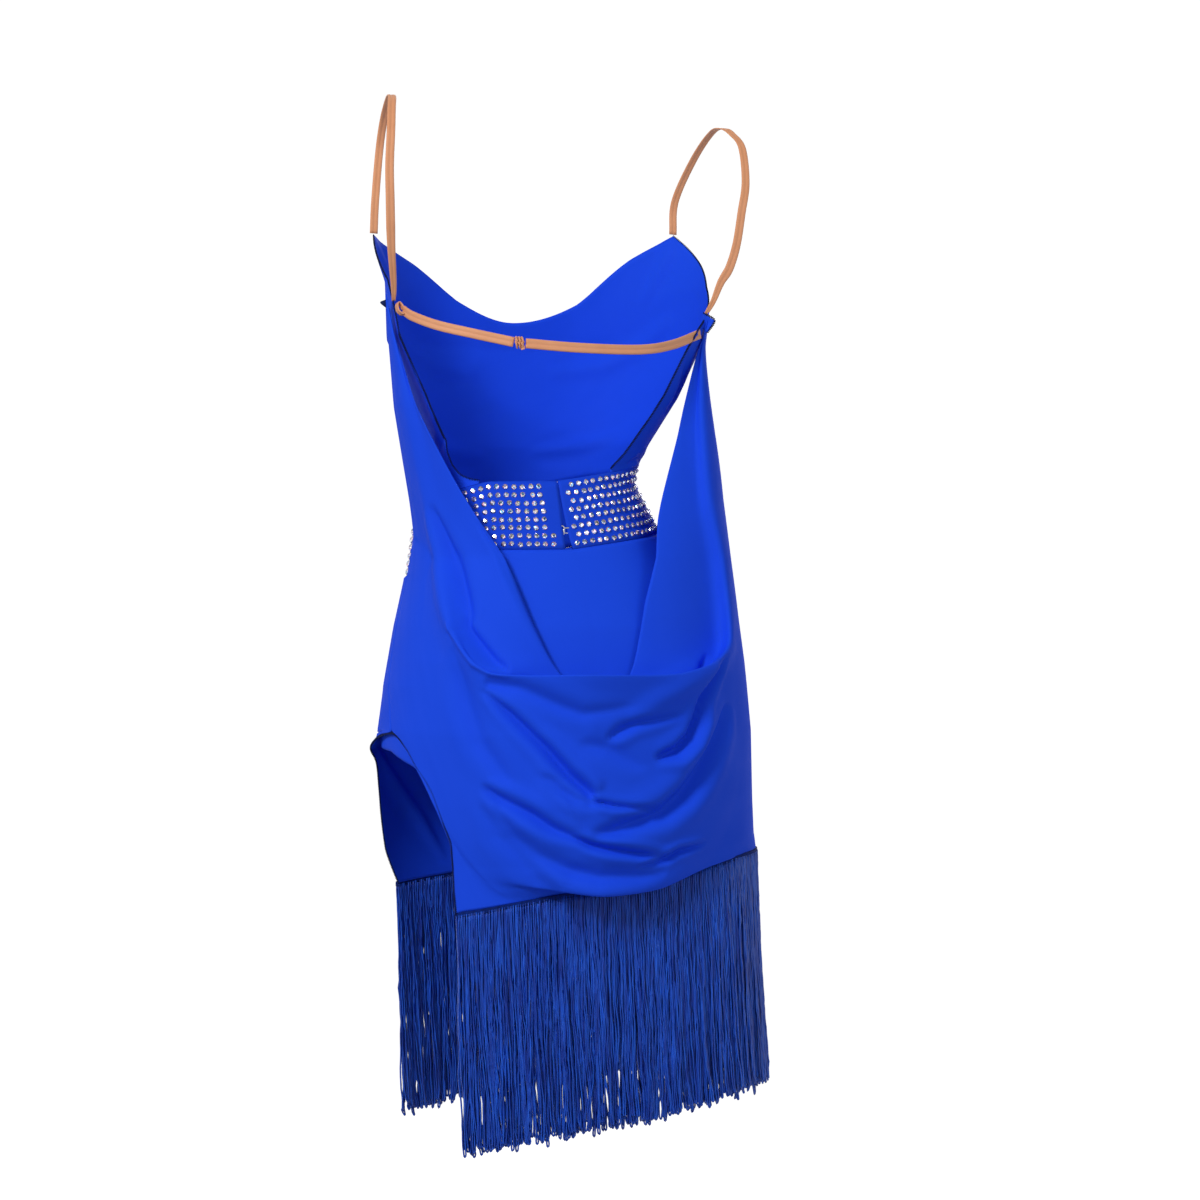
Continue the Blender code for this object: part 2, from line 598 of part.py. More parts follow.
def build():
    for old in list(bpy.data.objects):
        bpy.data.objects.remove(old, do_unlink=True)
    jersey = material("stretch_jersey", ROYAL_BLUE, 0.55)
    band = material("band_cloth", ROYAL_BLUE, 0.45)
    thread = material("fringe_thread", DEEP_BLUE, 0.5)
    elastic = material("nude_elastic", NUDE, 0.6)
    steel = material("hook_steel", STEEL, 0.35, 1.0)

    waistband(band)
    waistband_hook(steel)
    front_bodice(jersey)
    brief(jersey)
    gusset(jersey)
    front_skirt(jersey)
    cowl_drape(jersey)
    for name, places, front, back in (
            ("left_strap", LEFT_STRAP, 360 - STRAP_TURN_LEFT, 360 - LEFT_CORNER_TURN),
            ("right_strap", RIGHT_STRAP, STRAP_TURN_RIGHT, RIGHT_CORNER_TURN)):
        start, end = (oval(FIGURE, turn, bodice_upper(turn) + STRAP_END) for turn in (front, back))
        widths = [STRAP_WIDTH] * 4 + [GATHERED]
        ribbon(name, (start / MM, *places, end / MM), widths, (1, 0, 0), elastic)
    widths = [STRAP_WIDTH, STRAP_WIDTH]
    ribbon("back_strap_left", BACK_STRAP_LEFT, widths, (0, 0, 1), elastic, 12)
    ribbon("back_strap_right", BACK_STRAP_RIGHT, widths, (0, 0, 1), elastic, 16)
    knot(elastic)
    back_hem = [drape_point(k / 20, 1.0) for k in range(21)]
    fringe("back_fringe", back_hem, BACK_TAPE_DROP, LOCKS_BACK, thread)
    right = column(RIGHT_SEAM, FRONT_HEM[0][1]) + SKIRT_TAPE_INSET
    left = FRONT_HEM[-1][0] - SKIRT_TAPE_INSET
    turns = [right + (left - right) * k / 16 for k in range(17)]
    front_hem = [skirt_skin(turn, column(FRONT_HEM, turn) * MM) for turn in turns]
    fringe("front_fringe", front_hem, FRONT_TAPE_DROP, LOCKS_FRONT, thread)


build()
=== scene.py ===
"""Finish of a Latin dance dress that hangs as worn: jersey cloth with its creases, a stoned
waistband, ribbed elastic straps, overlock thread on the raw edges and a long thread fringe.

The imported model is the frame. Cloth pieces are thin shells on the forms that the solids have, in
metres, with the origin midway between the two shoulder points. A "turn" is an angle round the
body in degrees: 0 at the centre back (-Y), 90 at the wearer's right side, 180 at the front.
"""

import math

import bpy
import numpy as np
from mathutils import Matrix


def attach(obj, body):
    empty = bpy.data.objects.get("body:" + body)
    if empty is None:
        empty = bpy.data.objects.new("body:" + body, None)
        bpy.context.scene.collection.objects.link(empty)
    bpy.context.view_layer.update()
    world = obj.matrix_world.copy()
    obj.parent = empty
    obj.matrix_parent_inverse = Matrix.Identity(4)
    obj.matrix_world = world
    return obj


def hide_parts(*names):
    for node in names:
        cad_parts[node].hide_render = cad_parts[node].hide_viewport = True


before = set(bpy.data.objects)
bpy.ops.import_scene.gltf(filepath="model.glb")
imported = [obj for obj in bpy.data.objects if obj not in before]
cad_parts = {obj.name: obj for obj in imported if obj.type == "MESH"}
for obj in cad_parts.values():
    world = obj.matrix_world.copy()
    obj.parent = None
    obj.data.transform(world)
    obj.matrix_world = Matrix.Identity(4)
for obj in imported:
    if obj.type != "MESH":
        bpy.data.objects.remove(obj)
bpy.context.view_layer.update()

MM = 0.001
UP = np.array([0.0, 0.0, 1.0])
ASIDE = np.array([1.0, 0.0, 0.0])
ROUND = 6.283               # radians in a full wave
JERSEY_THICK = 1.0 * MM
LIE_OUT = 0.4 * MM          # middle of the close-fitting cloth outside FIGURE
OVER_BRIEF = 3.2 * MM       # how far the skirt and drape stay off it where they touch,
REST_EASE = 4 * MM          # and how softly they come to rest there
SEAM = 0.3 * MM
ROUNDNESS = 2.25            # exponent of the body's oval: 2 is an ellipse

# The close-fitting form that the bodice, band and brief lie on.
# height, centre x, centre y, half width, depth to the back, depth to the front, in mm
FIGURE = (
    (-90, -8.5, 5, 164.5, 85, 90),
    (-150, -9.5, 0, 143.5, 98, 108),
    (-200, -12.5, 0, 138.5, 96, 112),
    (-250, -13, 2, 116, 86, 98),
    (-290, -18.2, 5, 95.8, 80, 86),
    (-312, -25.1, 7, 91.7, 79, 85),
    (-325, -27, 8, 91.5, 79, 84),
    (-370, -19.3, 6, 107.3, 88, 90),
    (-410, -10.5, 3, 122.5, 100, 96),
    (-450, -5, 0, 138, 110, 99),
    (-500, -1, -3, 152, 117, 100),
    (-550, -1, -4, 157, 117, 100),
    (-600, 1, -4, 157, 113, 98),
    (-660, 2, -3, 152, 106, 96),
)

# The looser form that the skirt and the drape hang on, same columns.
HANG = (
    (-170, -15.7, 0, 152.9, 85, 100),
    (-260, -6.7, 0, 149.1, 100, 100),
    (-340, 4.2, 0, 141.9, 115, 100),
    (-390, 11.4, 0, 139, 125, 100),
    (-440, 7.8, 0, 148.7, 133, 100),
    (-480, 5, 0, 156.8, 137, 102),
    (-540, 3.5, 0, 165.2, 135, 104),
    (-600, 4, 0, 167, 130, 104),
    (-650, 5, 0, 170, 122, 104),
    (-700, 5, 0, 170, 120, 104),
)

HIP_TOP = -0.385            # below this the skirt eases out from FIGURE to HANG,
HIP_EASE = 0.125            # over this much height

# Waistband: turn, height of its lower edge in mm.
BAND_HEIGHT = 58 * MM
BAND_THICK = 2.0 * MM
BAND_FACE = LIE_OUT + BAND_THICK / 2
BAND_LOWER = (
    (0, -383.5), (45, -373), (75, -366), (130, -374), (180, -388),
    (210, -400), (260, -407), (320, -384), (360, -383.5),
)
BACK_OPENING_TOP = 1.2 * MM
BACK_OPENING_FOOT = 6.0 * MM
BACK_OPENING_LEAN = (1.5, -1.8)    # turn of its middle at the top and at the foot
WAIST_DEPTH = 85 * MM       # from the body's axis to the back opening
HOOK_HEIGHT = 16 * MM
WIRE_WIDTH = 1.2 * MM
HOOK = ((3.2, 0, 2.2), (1.4, 0, 2.2), (-1.0, -0.5, 1.8), (-1.8, -1.0, 0.0), (-1.0, -0.5, -1.8),
        (1.4, 0, -2.2), (3.2, 0, -2.2))
BAR = ((-3.2, 0.2, 4.0), (-1.6, -0.3, 3.4), (-1.0, -0.5, 0.0), (-1.6, -0.3, -3.4),
       (-3.2, 0.2, -4.0))

# Bodice: turn from the centre back on either side, height of its upper edge in mm.
BODICE_RIGHT = (
    (37, -314), (43, -302), (52, -271), (56, -247), (61, -207), (72, -180),
    (88, -150), (102, -122), (113, -98), (128, -118), (150, -158), (180, -176),
)
BODICE_LEFT = (
    (45, -325), (50, -323.8), (56, -320.5), (63, -312), (69, -301), (74, -285), (78, -262),
    (80.5, -235), (82, -205), (87, -171), (90, -160), (95, -145), (102, -121), (105.4, -108),
    (118, -119), (128, -128), (152, -158), (180, -176),
)
RIGHT_CORNER_TURN = 72
LEFT_CORNER_TURN = 87
STRAP_TURN_RIGHT = 113
STRAP_TURN_LEFT = 105.4
SHARP_TURNS = (RIGHT_CORNER_TURN, LEFT_CORNER_TURN, STRAP_TURN_RIGHT, STRAP_TURN_LEFT)

# Brief: turn, height of the leg and crotch edge in mm.
BRIEF_LOWER = (
    (0, -640), (14, -638), (35, -612), (60, -575), (85, -552), (110, -540), (140, -560),
    (165, -612), (180, -622), (195, -612), (220, -566), (250, -552), (276, -556),
    (288, -567), (300, -582), (325, -616), (346, -638), (360, -640),
)
GUSSET_WIDTH = 54 * MM
GUSSET_SAG = 46 * MM
GUSSET_WAIST = 0.25         # share of its width that it loses in the middle

# Side seams of the skirt: height in mm, turn. Below its slit the left one is two free edges.
RIGHT_SEAM = ((-366, 92), (-430, 92), (-480, 91), (-560, 90.5), (-650, 90))
LEFT_SEAM = ((-380, 267), (-409, 267.3), (-445, 267.9), (-470, 269.4), (-490, 271.9),
             (-512, 275.3), (-539, 280))
BACK_SLIT = ((-541, 282.5), (-545, 285), (-553, 288.8), (-566, 292.3), (-579, 296.5),
             (-589, 298.8), (-604, 301), (-617, 302.4), (-631, 304.3), (-672, 304.7), (-691, 305.2))
FRONT_SLIT = ((-541, 275), (-542.5, 269), (-553, 263), (-575, 258), (-610, 254),
              (-645, 249.5), (-676, 242.5))
SLIT_TOP = -0.5385          # height under which the left side is open
FLARE_OUT = 7 * MM          # the front panel's corner at the slit curls out by this,
FLARE_HEIGHT = -0.5545      # most at this height,
FLARE_REACH = 9 * MM        # over this much up and down
FLARE_SHARE = 0.03          # and this share of the panel's width
SEAM_TURN = 0.02            # gap at a side seam, as a turn on either side of it
SEAM_TOP = -0.395           # the drape's side edges are sewn to the skirt below this height,
SEAM_EASE = 0.03            # coming to it over this much,
LEFT_SEAM_SHARE = 0.12      # and shares of the drape's width are drawn in to the seams
RIGHT_SEAM_SHARE = 0.16
FRONT_HEM = ((90, -644), (180, -660), (242.5, -676))

# The cowl drape: one line across the cloth for each edge or fold, from the wearer's left to
# their right. Each place is a turn, a height in mm and how far the cloth stands off HANG in mm.
DRAPE_LINES = (
    ("neck edge", (-87, -176, -11), (-72, -263, -1), (-57.5, -334, 0), (-39, -411, -5),
     (-22, -480, -10), (-3, -529, -5), (10, -484, -14), (18, -427, -21), (33.5, -358, -26),
     (57, -281, -22), (71, -186, -2)),
    ("inside pouch", (-87, -175, -9), (-74, -261, -3), (-66, -352, -1), (-51, -450, 2),
     (-33, -510, 5), (-7, -554, 4), (21, -518, -1), (47, -465, -12), (51, -358, -13),
     (63, -270, -13), (72, -184, -3)),
    ("crest", (-86, -174, -7), (-79, -256, -1), (-74, -358, 3), (-56, -450, 9),
     (-40, -487, 14), (-10, -489, 30), (21, -488, 20), (49, -461, 5), (56, -349, 0),
     (65, -261, -3), (73, -183, -4)),
    ("swag", (-91, -314, -2), (-86, -375, 0), (-76, -427, 0), (-60, -473, 2), (-42, -517, 8),
     (-9, -539, 18), (24, -521, 12), (52, -485, 2), (72, -435, 0), (79, -365, -2),
     (84, -287, -22)),
    ("belly", (-93, -409, 0), (-81, -445, 0), (-70, -482, 0), (-58, -523, 2), (-40, -572, 10),
     (-8, -605, 24), (27, -578, 14), (53, -530, 2), (74, -483, 0), (82, -430, -5),
     (92, -392, -43)),
    ("lower belly", (-86, -504, 0), (-75, -524, 0), (-65, -549, 0), (-55, -586, 2),
     (-38, -625, 10), (-5, -648, 24), (28, -628, 14), (54, -586, 2), (72, -549, 0),
     (82, -514, -2), (91, -479, -12)),
    ("lip", (-71, -558, -1), (-64, -582, 0), (-58, -610, 0), (-49, -643, 2), (-29, -664, 10),
     (-5, -674, 22), (19, -669, 14), (43, -650, 3), (70, -633, 0), (82, -615, -1),
     (90.5, -602, -2)),
    ("tuck", (-57, -632, -1), (-53, -642, -1), (-50, -653, -1), (-42, -668, 0), (-26, -667, 3),
     (-4, -657, 2), (18, -652, 1), (42, -648, 0), (64, -640, 0), (79, -631, 0), (90, -622, 0)),
    ("hem", (-55, -691, -2), (-49, -687, -2), (-43, -684, -3), (-35, -680, -4), (-23, -675, -5),
     (-2, -669, -6), (20, -663, -5), (41, -654, -3), (56, -647, 0), (75, -644, 1),
     (90, -642, 1)),
)
DRAPE_ROWS = ((0, 0.2, 0.84, 1), (0, 0.22, 0.8, 1))     # rows lie closer in the middle
FOLD_RADIUS = 150           # mm, turns a turn into a length along the cloth
PULL_ACROSS = 0.3           # how round the drape's lines turn: 0.5 is roundest
CREASE_POINT = 0.45         # a crease's width at its ends, as a share of its full width
RIDGE_AWAY = 2.2            # its ridges' place and width, as shares of its own width
RIDGE_WIDTH = 1.3

# Creases of the drape. A crease is a hollow between two ridges, deepest at its peak (0 is its
# start, 1 its end) and pointed at both ends. Half width, depth and the ridges' heights are in mm;
# left and right are as one walks along its places, each a turn and a height in mm. A negative
# depth is a ridge by itself.
DRAPE_CREASES = (
    # name, peak, half width, depth, left ridge, right ridge, places
    ("under crest", 0.25, 6, 4, 1, 1, (-42, -496), (-31, -499), (-19, -514), (-12, -521),
     (-5, -519), (5, -514)),
    ("long left", 0.78, 5, 10, 4, 3, (-43, -501), (-35, -520), (-23, -551), (-16, -572),
     (-8, -590)),
    ("middle", 0.4, 5, 5, 1, 2, (-23, -572), (-18, -585), (-13, -593), (-4, -597)),
    ("middle line", 0.5, 2.5, 5, 1, 2, (-8, -594), (-2, -598), (14, -602)),
    ("thin ridge", 0.5, 2.5, -2, 0, 0, (-22, -576), (-17, -597), (-12, -622)),
    ("right hook", 0.62, 5, 11, 4, 2, (44, -474), (37, -494), (32, -511), (30, -528), (27, -543),
     (22, -554), (14, -559)),
    ("right long", 0.5, 8, 11, 3, 3, (46, -515), (42, -537), (37, -556), (31, -575), (25, -591),
     (17, -605), (7, -612), (-9, -624)),
    ("lower left", 0.5, 5, 6, 3, 2, (-43, -582), (-38, -592), (-28, -605), (-22, -616),
     (-12, -627)),
    ("lower", 0.5, 3.5, 7, 3, 2, (-14, -625), (-9, -631), (-4, -634), (8, -639), (20, -643)),
    ("lower right", 0.5, 3, 6, 2, 1, (8, -650), (18, -646), (24, -639), (36, -634)),
    ("lower soft", 0.5, 7, 5, 2, 2, (-39, -597), (-34, -622), (-26, -639), (-16, -652),
     (-6, -658), (8, -658), (20, -654)),
    ("outer left", 0.6, 8, 4, 2, 2, (-43, -598), (-39, -623), (-33, -639), (-27, -658),
     (-19, -672)),
    ("left wing", 0.5, 8, 4, 2, 1, (-54, -465), (-49, -510), (-44, -545), (-34, -580)),
    ("right wedge", 0.35, 4, 5, 1, 2, (-3, -542), (1, -535), (6, -530), (24, -523)),
    ("centre soft", 0.5, 6, 3, 1, 1, (-12, -546), (-4, -550), (9, -568)),
    ("right plane", 0.5, 11, -5, 0, 0, (3, -526), (14, -510), (25, -498), (38, -481)),
    ("wing trough", 0.6, 7, 8, 1, 4, (-72, -346), (-68, -370), (-64.5, -390), (-60, -406),
     (-55, -428), (-51, -447)),
    ("corner line", 0.5, 3, -4, 0, 0, (-57, -444), (-56, -451), (-52, -461), (-48, -472),
     (-45, -480), (-40, -487), (-34, -490)),
    ("behind corner", 0.5, 4.5, 7, 0, 0, (-54, -442), (-50, -456), (-45.5, -468), (-41, -479),
     (-36, -486)),
    ("neck groove", 0.6, 3, 4.5, 2, 1, (-52, -362), (-46, -385), (-41, -404), (-34, -430),
     (-27.5, -454), (-20, -482)),
)

# Creases of the pieces that lie close and of the front panel, in the same columns.
BODICE_CREASES = (
    ("right waist", 0.5, 3, 2.5, 1, 1, (50, -309), (60, -303), (76, -305)),
    ("right waist low", 0.5, 3, 2, 1, 1, (46, -320), (58, -316), (74, -318)),
    ("right side", 0.4, 5, 2, 1, 1, (62, -212), (68, -238), (66, -268)),
    ("left side", 0.5, 5, 2, 1, 1, (281, -232), (286, -262), (284, -300)),
    ("right strap pull", 0.3, 5, 2.5, 1, 1, (113, -108), (118, -134), (125, -162)),
    ("left strap pull", 0.3, 5, 2.5, 1, 1, (254, -116), (248, -140), (240, -166)),
    ("under right bust", 0.4, 8, 3, 1, 1, (110, -172), (122, -198), (138, -215), (162, -222)),
    ("under left bust", 0.5, 8, 3, 1, 1, (250, -170), (238, -197), (221, -216), (198, -225)),
    ("front waist right", 0.5, 5, 2, 1, 1, (116, -276), (138, -288), (166, -293)),
    ("front waist left", 0.4, 6, 2, 1, 1, (244, -282), (222, -294), (194, -299)),
)
BRIEF_CREASES = (
    ("right hollow", 0.5, 10, 2, 1, 1, (50, -398), (51, -440), (44, -492)),
    ("left hollow", 0.4, 12, 2, 1, 1, (308, -402), (313, -450), (322, -505)),
    ("right seat", 0.5, 5, 1.5, 1, 1, (18, -588), (36, -594), (58, -580)),
    ("left seat", 0.5, 5, 1.5, 1, 1, (342, -588), (322, -596), (300, -576)),
    ("right groin", 0.5, 5, 2, 1, 1, (156, -590), (138, -556), (116, -536)),
    ("left groin", 0.5, 5, 2, 1, 1, (206, -592), (224, -560), (246, -546)),
)
SKIRT_CREASES = (
    ("right fall", 0.5, 16, 4, 2, 2, (158, -430), (154, -510), (150, -595), (148, -658)),
    ("left fall", 0.5, 14, 4, 2, 2, (204, -425), (208, -505), (213, -600), (215, -664)),
    ("right hip", 0.4, 9, 3, 1, 1, (106, -398), (115, -428), (128, -455), (147, -470)),
    ("left hip", 0.4, 8, 3, 1, 1, (250, -417), (243, -444), (230, -466), (212, -480)),
    ("slit pull", 0.4, 6, 3, 1, 2, (258, -556), (246, -584), (233, -620), (222, -658)),
    ("right low", 0.5, 10, 3, 1, 2, (103, -515), (108, -580), (106, -640)),
)

# Straps: places that the elastic passes, in mm.
STRAP_WIDTH = 8.5 * MM
STRAP_THICK = 1.6 * MM
STRAP_END = 1.5 * MM        # how far over the bodice's edge its middle line stops
SHOULDER_TAPER = (0.85, 0.85, 0.85, 0.9, 0.95, 0.4)   # it is gathered at its back end
LEFT_STRAP = (
    (-155, 45, -77), (-150, 50, -33), (-149, 38, -7), (-150, 15, 8), (-152, -2, 7),
    (-156, -16, -4), (-160, -29, -27), (-163, -36, -57), (-163, -38, -87), (-160, -30, -124),
    (-154, -15, -156),
)
RIGHT_STRAP = (
    (129, 64, -66), (140, 44, -30), (148, 18, -9), (152, 0, -8), (157, -10, -14),
    (161, -24, -28), (159, -38, -60), (153, -44, -87), (148, -45, -115), (141, -46, -136),
    (133, -46, -149), (126, -45, -166),
)
BACK_STRAP_LEFT = (
    (-145.5, -15, -178), (-140, -26, -184), (-124, -48, -193), (-98, -69, -201),
    (-67.4, -84.6, -208.6),
)
BACK_STRAP_RIGHT = (
    (-57.8, -88, -209.6), (-13, -97, -213), (42, -93, -213), (77, -77, -207),
    (111.3, -52.6, -195),
)
KNOT_CENTRE = (-63, -87, -209)
KNOT_TURNS = 2.6
KNOT_SIZE = (6.5, 3.6, 2.2)     # mm along the strap, and half its height and depth
KNOT_TAIL = ((0, 0, 0), (2.0, -1.5, -2.6), (2.6, -2.0, -6.0))
KNOT_ELASTIC = (3.6 * MM, 1.5 * MM)     # width and thickness where it is pulled tight,
LOOP_ELASTIC = (5.0 * MM, 1.3 * MM)     # and in the corner's loop
CORNER_LOOP = (             # from the back strap's left end, round the corner and back
    (-143.5, -16.5, -180.5), (-147, -16, -181.5), (-150.2, -15, -178.5), (-150.6, -13, -173.5),
    (-148.8, -12, -171.5), (-146.8, -12.5, -173.5), (-145.4, -14, -177),
)
RIGHT_TAB = ((116.5, -45.7, -176.1), (126, -48.8, -182.6), (119.8, -47.5, -193.5),
             (115.6, -45.5, -188.3))
LEFT_TAB = ((-157.7, -9.9, -168.3), (-163.8, -7.9, -170.8), (-163.8, -7.9, -171.8),
            (-159.3, -9.4, -176))
OVERLOCK_PITCH = 1.5 * MM
OVERLOCK_REACH = 0.9 * MM
OVERLOCK_WIDTH = 0.8 * MM
THREAD_TAIL = ((1.5, 0, 0.3), (4.5, 0, 0.6), (7.0, 0, 2.0), (7.6, 0, 4.4), (5.6, 0, 6.4))

# Stones: crystals in staggered rows round the band, with a bare strip beside the back opening.
STONE_ROWS = 8
STONE_PITCH = 7.2 * MM
STONE_WIDTH = 5.0 * MM
STONE_HEIGHT = 1.7 * MM
STONE_EDGE = 4.5 * MM       # lowest and highest row from the band's edges
BARE_RIGHT = 8 * MM         # bare cloth beside the back opening, to the first stone's middle
BARE_LEFT = 11 * MM
STONE_WANDER = 0.25 * MM    # how far a stone strays along its row,
STONE_RISE = 0.2 * MM       # up or down,
STONE_TILT = 0.06           # and tilts, in radians

# Fringe: looped threads in layers, hanging from a narrow tape.
BACK_TAPE_DROP = 1.0 * MM
FRONT_TAPE_DROP = 0.45 * MM
FRINGE_LENGTH = 203 * MM
FRINGE_LEAN = 8 * MM        # towards +X at the tips
FRINGE_STOP = (0.4, 0.3)    # turns that the front fringe stops short of its right and left seam
HEM_POINTS = 240
HEM_ENDS = (20, 196)        # the hem is overlocked before the first of these and from the second
TAPE_SHOWS = 3.6 * MM       # how much of the tape is seen under the cloth
TAPE_THICK = 3.4 * MM
THREAD_WIDTH = 1.8 * MM
THREAD_PITCH = 2.2 * MM
FRINGE_LAYERS = 3
LAYER_APART = 1.2 * MM
LAYER_STAGGER = 0.33        # share of the pitch that each layer is shifted by
PITCH_SPREAD = 0.2          # share of the pitch that a thread strays by
ROOT_DROP = 1.0 * MM        # where threads start, under the tape's top
LOOP_ROOM = 5 * MM          # kept free under the legs for the loops
LENGTH_SPREAD = 2.6 * MM
SHORT_SPREAD = 2.4 * MM     # some threads are shorter by about this
THREAD_STEPS = 34
CRIMP = 0.3                 # mm, how much a thread wanders at each step down
SWAYS = ((1.3, 1.3), (0.6, 3.1), (0.35, 7.0))   # a thread's slow waves: mm, half waves
TIP_SPREAD = 2.0            # mm, how far tips stray along the hem,
DEPTH_SPREAD = 1.6          # across it,
DEPTH_WAVE = 0.6            # in a wave across it,
DEPTH_CRIMP = 0.25          # and at each step
LEGS_APART = 2.0            # mm between a thread's two legs at their ends,
LEGS_DRAWN = 1.0            # and how much closer they are in the middle
LOOP_WIDTH = 1.0            # mm, half the loop's width
LOOP_DROP = 2.6             # mm

# Finishes.
WALE_STEP = ROUND           # radians of the knit's wave that one stitch takes across,
COURSE_STEP = 4.2           # and down
MOTTLE = 0.3
ELASTIC_RIB = 1.1 * MM
# Threads: name, colour, shade, roughness, variation from strand to strand, shine.
THREADS = (
    ("fringe_thread", (0.012, 0.140, 0.84), (0.002, 0.032, 0.32), 0.45, 0.7, 0.25),
    ("woven_tape", (0.004, 0.028, 0.26), (0.002, 0.012, 0.11), 0.7, 0.5, 0.04),
    # The overlock thread's dark navy is also used as painted shade on the left corner tab.
    ("overlock_thread", (0.005, 0.018, 0.13), (0.002, 0.007, 0.05), 0.6, 0.5, 0.1),
)
# Crystal colours by a facet's facing: the pink, blue and straw are the coating's tints; the
# near-black stops are painted dark reflections.
CRYSTAL_TINTS_AND_DARK_REFLECTIONS = (
    (0.0, (0.95, 0.95, 1.0)), (0.14, (0.80, 0.28, 0.50)), (0.28, (0.95, 0.95, 1.0)),
    (0.44, (0.12, 0.45, 0.85)), (0.58, (0.02, 0.04, 0.16)), (0.70, (0.95, 0.86, 0.66)),
    (0.84, (0.03, 0.03, 0.10)), (1.0, (0.95, 0.95, 1.0)),
)

# Studio.
CAMERA_TURN = 18            # degrees from straight behind, towards the wearer's left
CAMERA_AWAY = 3.0           # metres from the dress
CAMERA_AIM = (0.035, -0.4266)   # sideways and up from the origin
CAMERA_LENS = 102.857       # mm on a 36 mm sensor
FLOOR = -1.42               # height of the shoulders of someone who stands on it
STUDIO_RADIUS = 5.0
STUDIO_CORNER = 1.2
STUDIO_HEIGHT = 3.6
DRESS_MIDDLE = -0.45
# Lamps: name, turn, height, distance and size in metres, watts.
LAMPS = (
    ("key", -50, 1.2, 2.6, 0.7, 56),
    ("fill", 30, 0.5, 3.2, 1.6, 13),
    ("front_fill", 150, 0.8, 3.0, 1.6, 28),
)
SKY_STRENGTH = 0.35


# ---------------------------------------------------------------- forms

def spline_weights(count, places, pull=0.5):
    """What each of count keys gives to a smooth curve read at places, where 0 is the first key.
    A smaller pull makes the curve straighter between keys and turn more sharply at them."""
    places = np.asarray(places, float)
    start = np.clip(np.floor(places), 0, count - 2).astype(int)
    t = (places - start)[:, None]
    keys = np.eye(count)
    padded = np.vstack([2 * keys[0] - keys[1], keys, 2 * keys[-1] - keys[-2]])
    before, a, b, after = (padded[start + k] for k in range(4))
    start_slope, end_slope = pull * (b - before), pull * (after - a)
    return (a + start_slope * t + (3 * (b - a) - 2 * start_slope - end_slope) * t ** 2
            + (2 * (a - b) + start_slope + end_slope) * t ** 3)


def smooth_line(keys, count):
    """A smooth curve of count points through keys."""
    keys = np.asarray(keys, float)
    return spline_weights(len(keys), np.linspace(0, len(keys) - 1, count)) @ keys


def one_long(direction):
    """A direction with its length made one."""
    return direction / np.linalg.norm(direction)


def lengths_along(line):
    """How far each point of a line is from its start, measured along it."""
    return np.concatenate([[0], np.cumsum(np.linalg.norm(np.diff(line, axis=0), axis=1))])


def column(table, at):
    """The second column of a two-column table, read at values of the first."""
    first, second = (np.array([row[k] for row in table], float) for k in (0, 1))
    if first[0] > first[-1]:
        first, second = first[::-1], second[::-1]
    return np.interp(at, first, second)


def form_at(form, height, columns):
    """Some columns of a form at heights, all in metres."""
    depth = [-row[0] * MM for row in form]
    return [np.interp(-height, depth, [row[k] * MM for row in form]) for k in columns]


def oval(form, turn, height, out=0.0):
    """Points of a form at turns and at heights in metres, moved out from its axis."""
    turn, height, out = np.broadcast_arrays(turn, height, out)
    cx, cy, side, back, front = form_at(form, height, range(1, 6))
    s, c = np.sin(np.radians(turn)), np.cos(np.radians(turn))
    deep = np.where(c > 0, back, front)
    radius = (np.abs(s / side) ** ROUNDNESS + np.abs(c / deep) ** ROUNDNESS) ** (-1 / ROUNDNESS)
    radius = radius + out
    return np.stack([cx + radius * s, cy - radius * c, height], axis=-1)


def skirt_skin(turn, height, out=0.0):
    """The skirt's form: close to the body under the band, then out to HANG over the hips."""
    close = oval(FIGURE, turn, height, out + OVER_BRIEF)
    loose = oval(HANG, turn, height, out)
    ease = np.clip((HIP_TOP - np.asarray(height)) / HIP_EASE, 0.0, 1.0)
    ease = (ease * ease * (3 - 2 * ease))[..., None]
    return close + (loose - close) * ease


def clear_of_body(points):
    """Points nearer to the body than OVER_BRIEF, moved out to rest on it."""
    heights = points[..., 2]
    axis = np.stack([*form_at(FIGURE, heights, (1, 2)), heights], axis=-1)
    offset = points - axis
    turn = np.degrees(np.arctan2(offset[..., 0], -offset[..., 1]))
    reach = np.linalg.norm(oval(FIGURE, turn, heights, OVER_BRIEF) - axis, axis=-1)
    here = np.linalg.norm(offset, axis=-1)
    pushed = 0.5 * (here + reach + np.hypot(here - reach, REST_EASE)) - REST_EASE / 2
    return axis + offset / here[..., None] * np.maximum(pushed, reach)[..., None]


def crease_depth(creases, turn, height):
    """How far creases move the cloth, in mm, at turns and at heights in mm."""
    x, y = np.radians(turn) * FOLD_RADIUS, np.asarray(height, float)
    total = np.zeros(np.broadcast(x, y).shape)
    for _, peak, half, depth, left, right, *places in creases:
        line = [(math.radians(a) * FOLD_RADIUS, b) for a, b in places]
        nearest = np.full(total.shape, np.inf)
        along, side = np.zeros(total.shape), np.ones(total.shape)
        for n, ((ax, ay), (bx, by)) in enumerate(zip(line, line[1:])):
            dx, dy = bx - ax, by - ay
            t = np.clip(((x - ax) * dx + (y - ay) * dy) / (dx * dx + dy * dy), 0, 1)
            gap = np.hypot(x - ax - t * dx, y - ay - t * dy)
            closer = gap < nearest
            nearest = np.where(closer, gap, nearest)
            along = np.where(closer, (n + t) / (len(line) - 1), along)
            side = np.where(closer, np.sign(dx * (y - ay) - dy * (x - ax)), side)
        rise = np.clip(along / peak, 0, None) ** peak
        swell = rise * np.clip((1 - along) / (1 - peak), 0, None) ** (1 - peak)
        width = half * (CREASE_POINT + (1 - CREASE_POINT) * swell)
        ridge = np.where(side > 0, left, right)
        total += swell * (ridge * np.exp(-((nearest / width - RIDGE_AWAY) / RIDGE_WIDTH) ** 2)
                          - depth * np.exp(-((nearest / width) ** 2)))
    return total


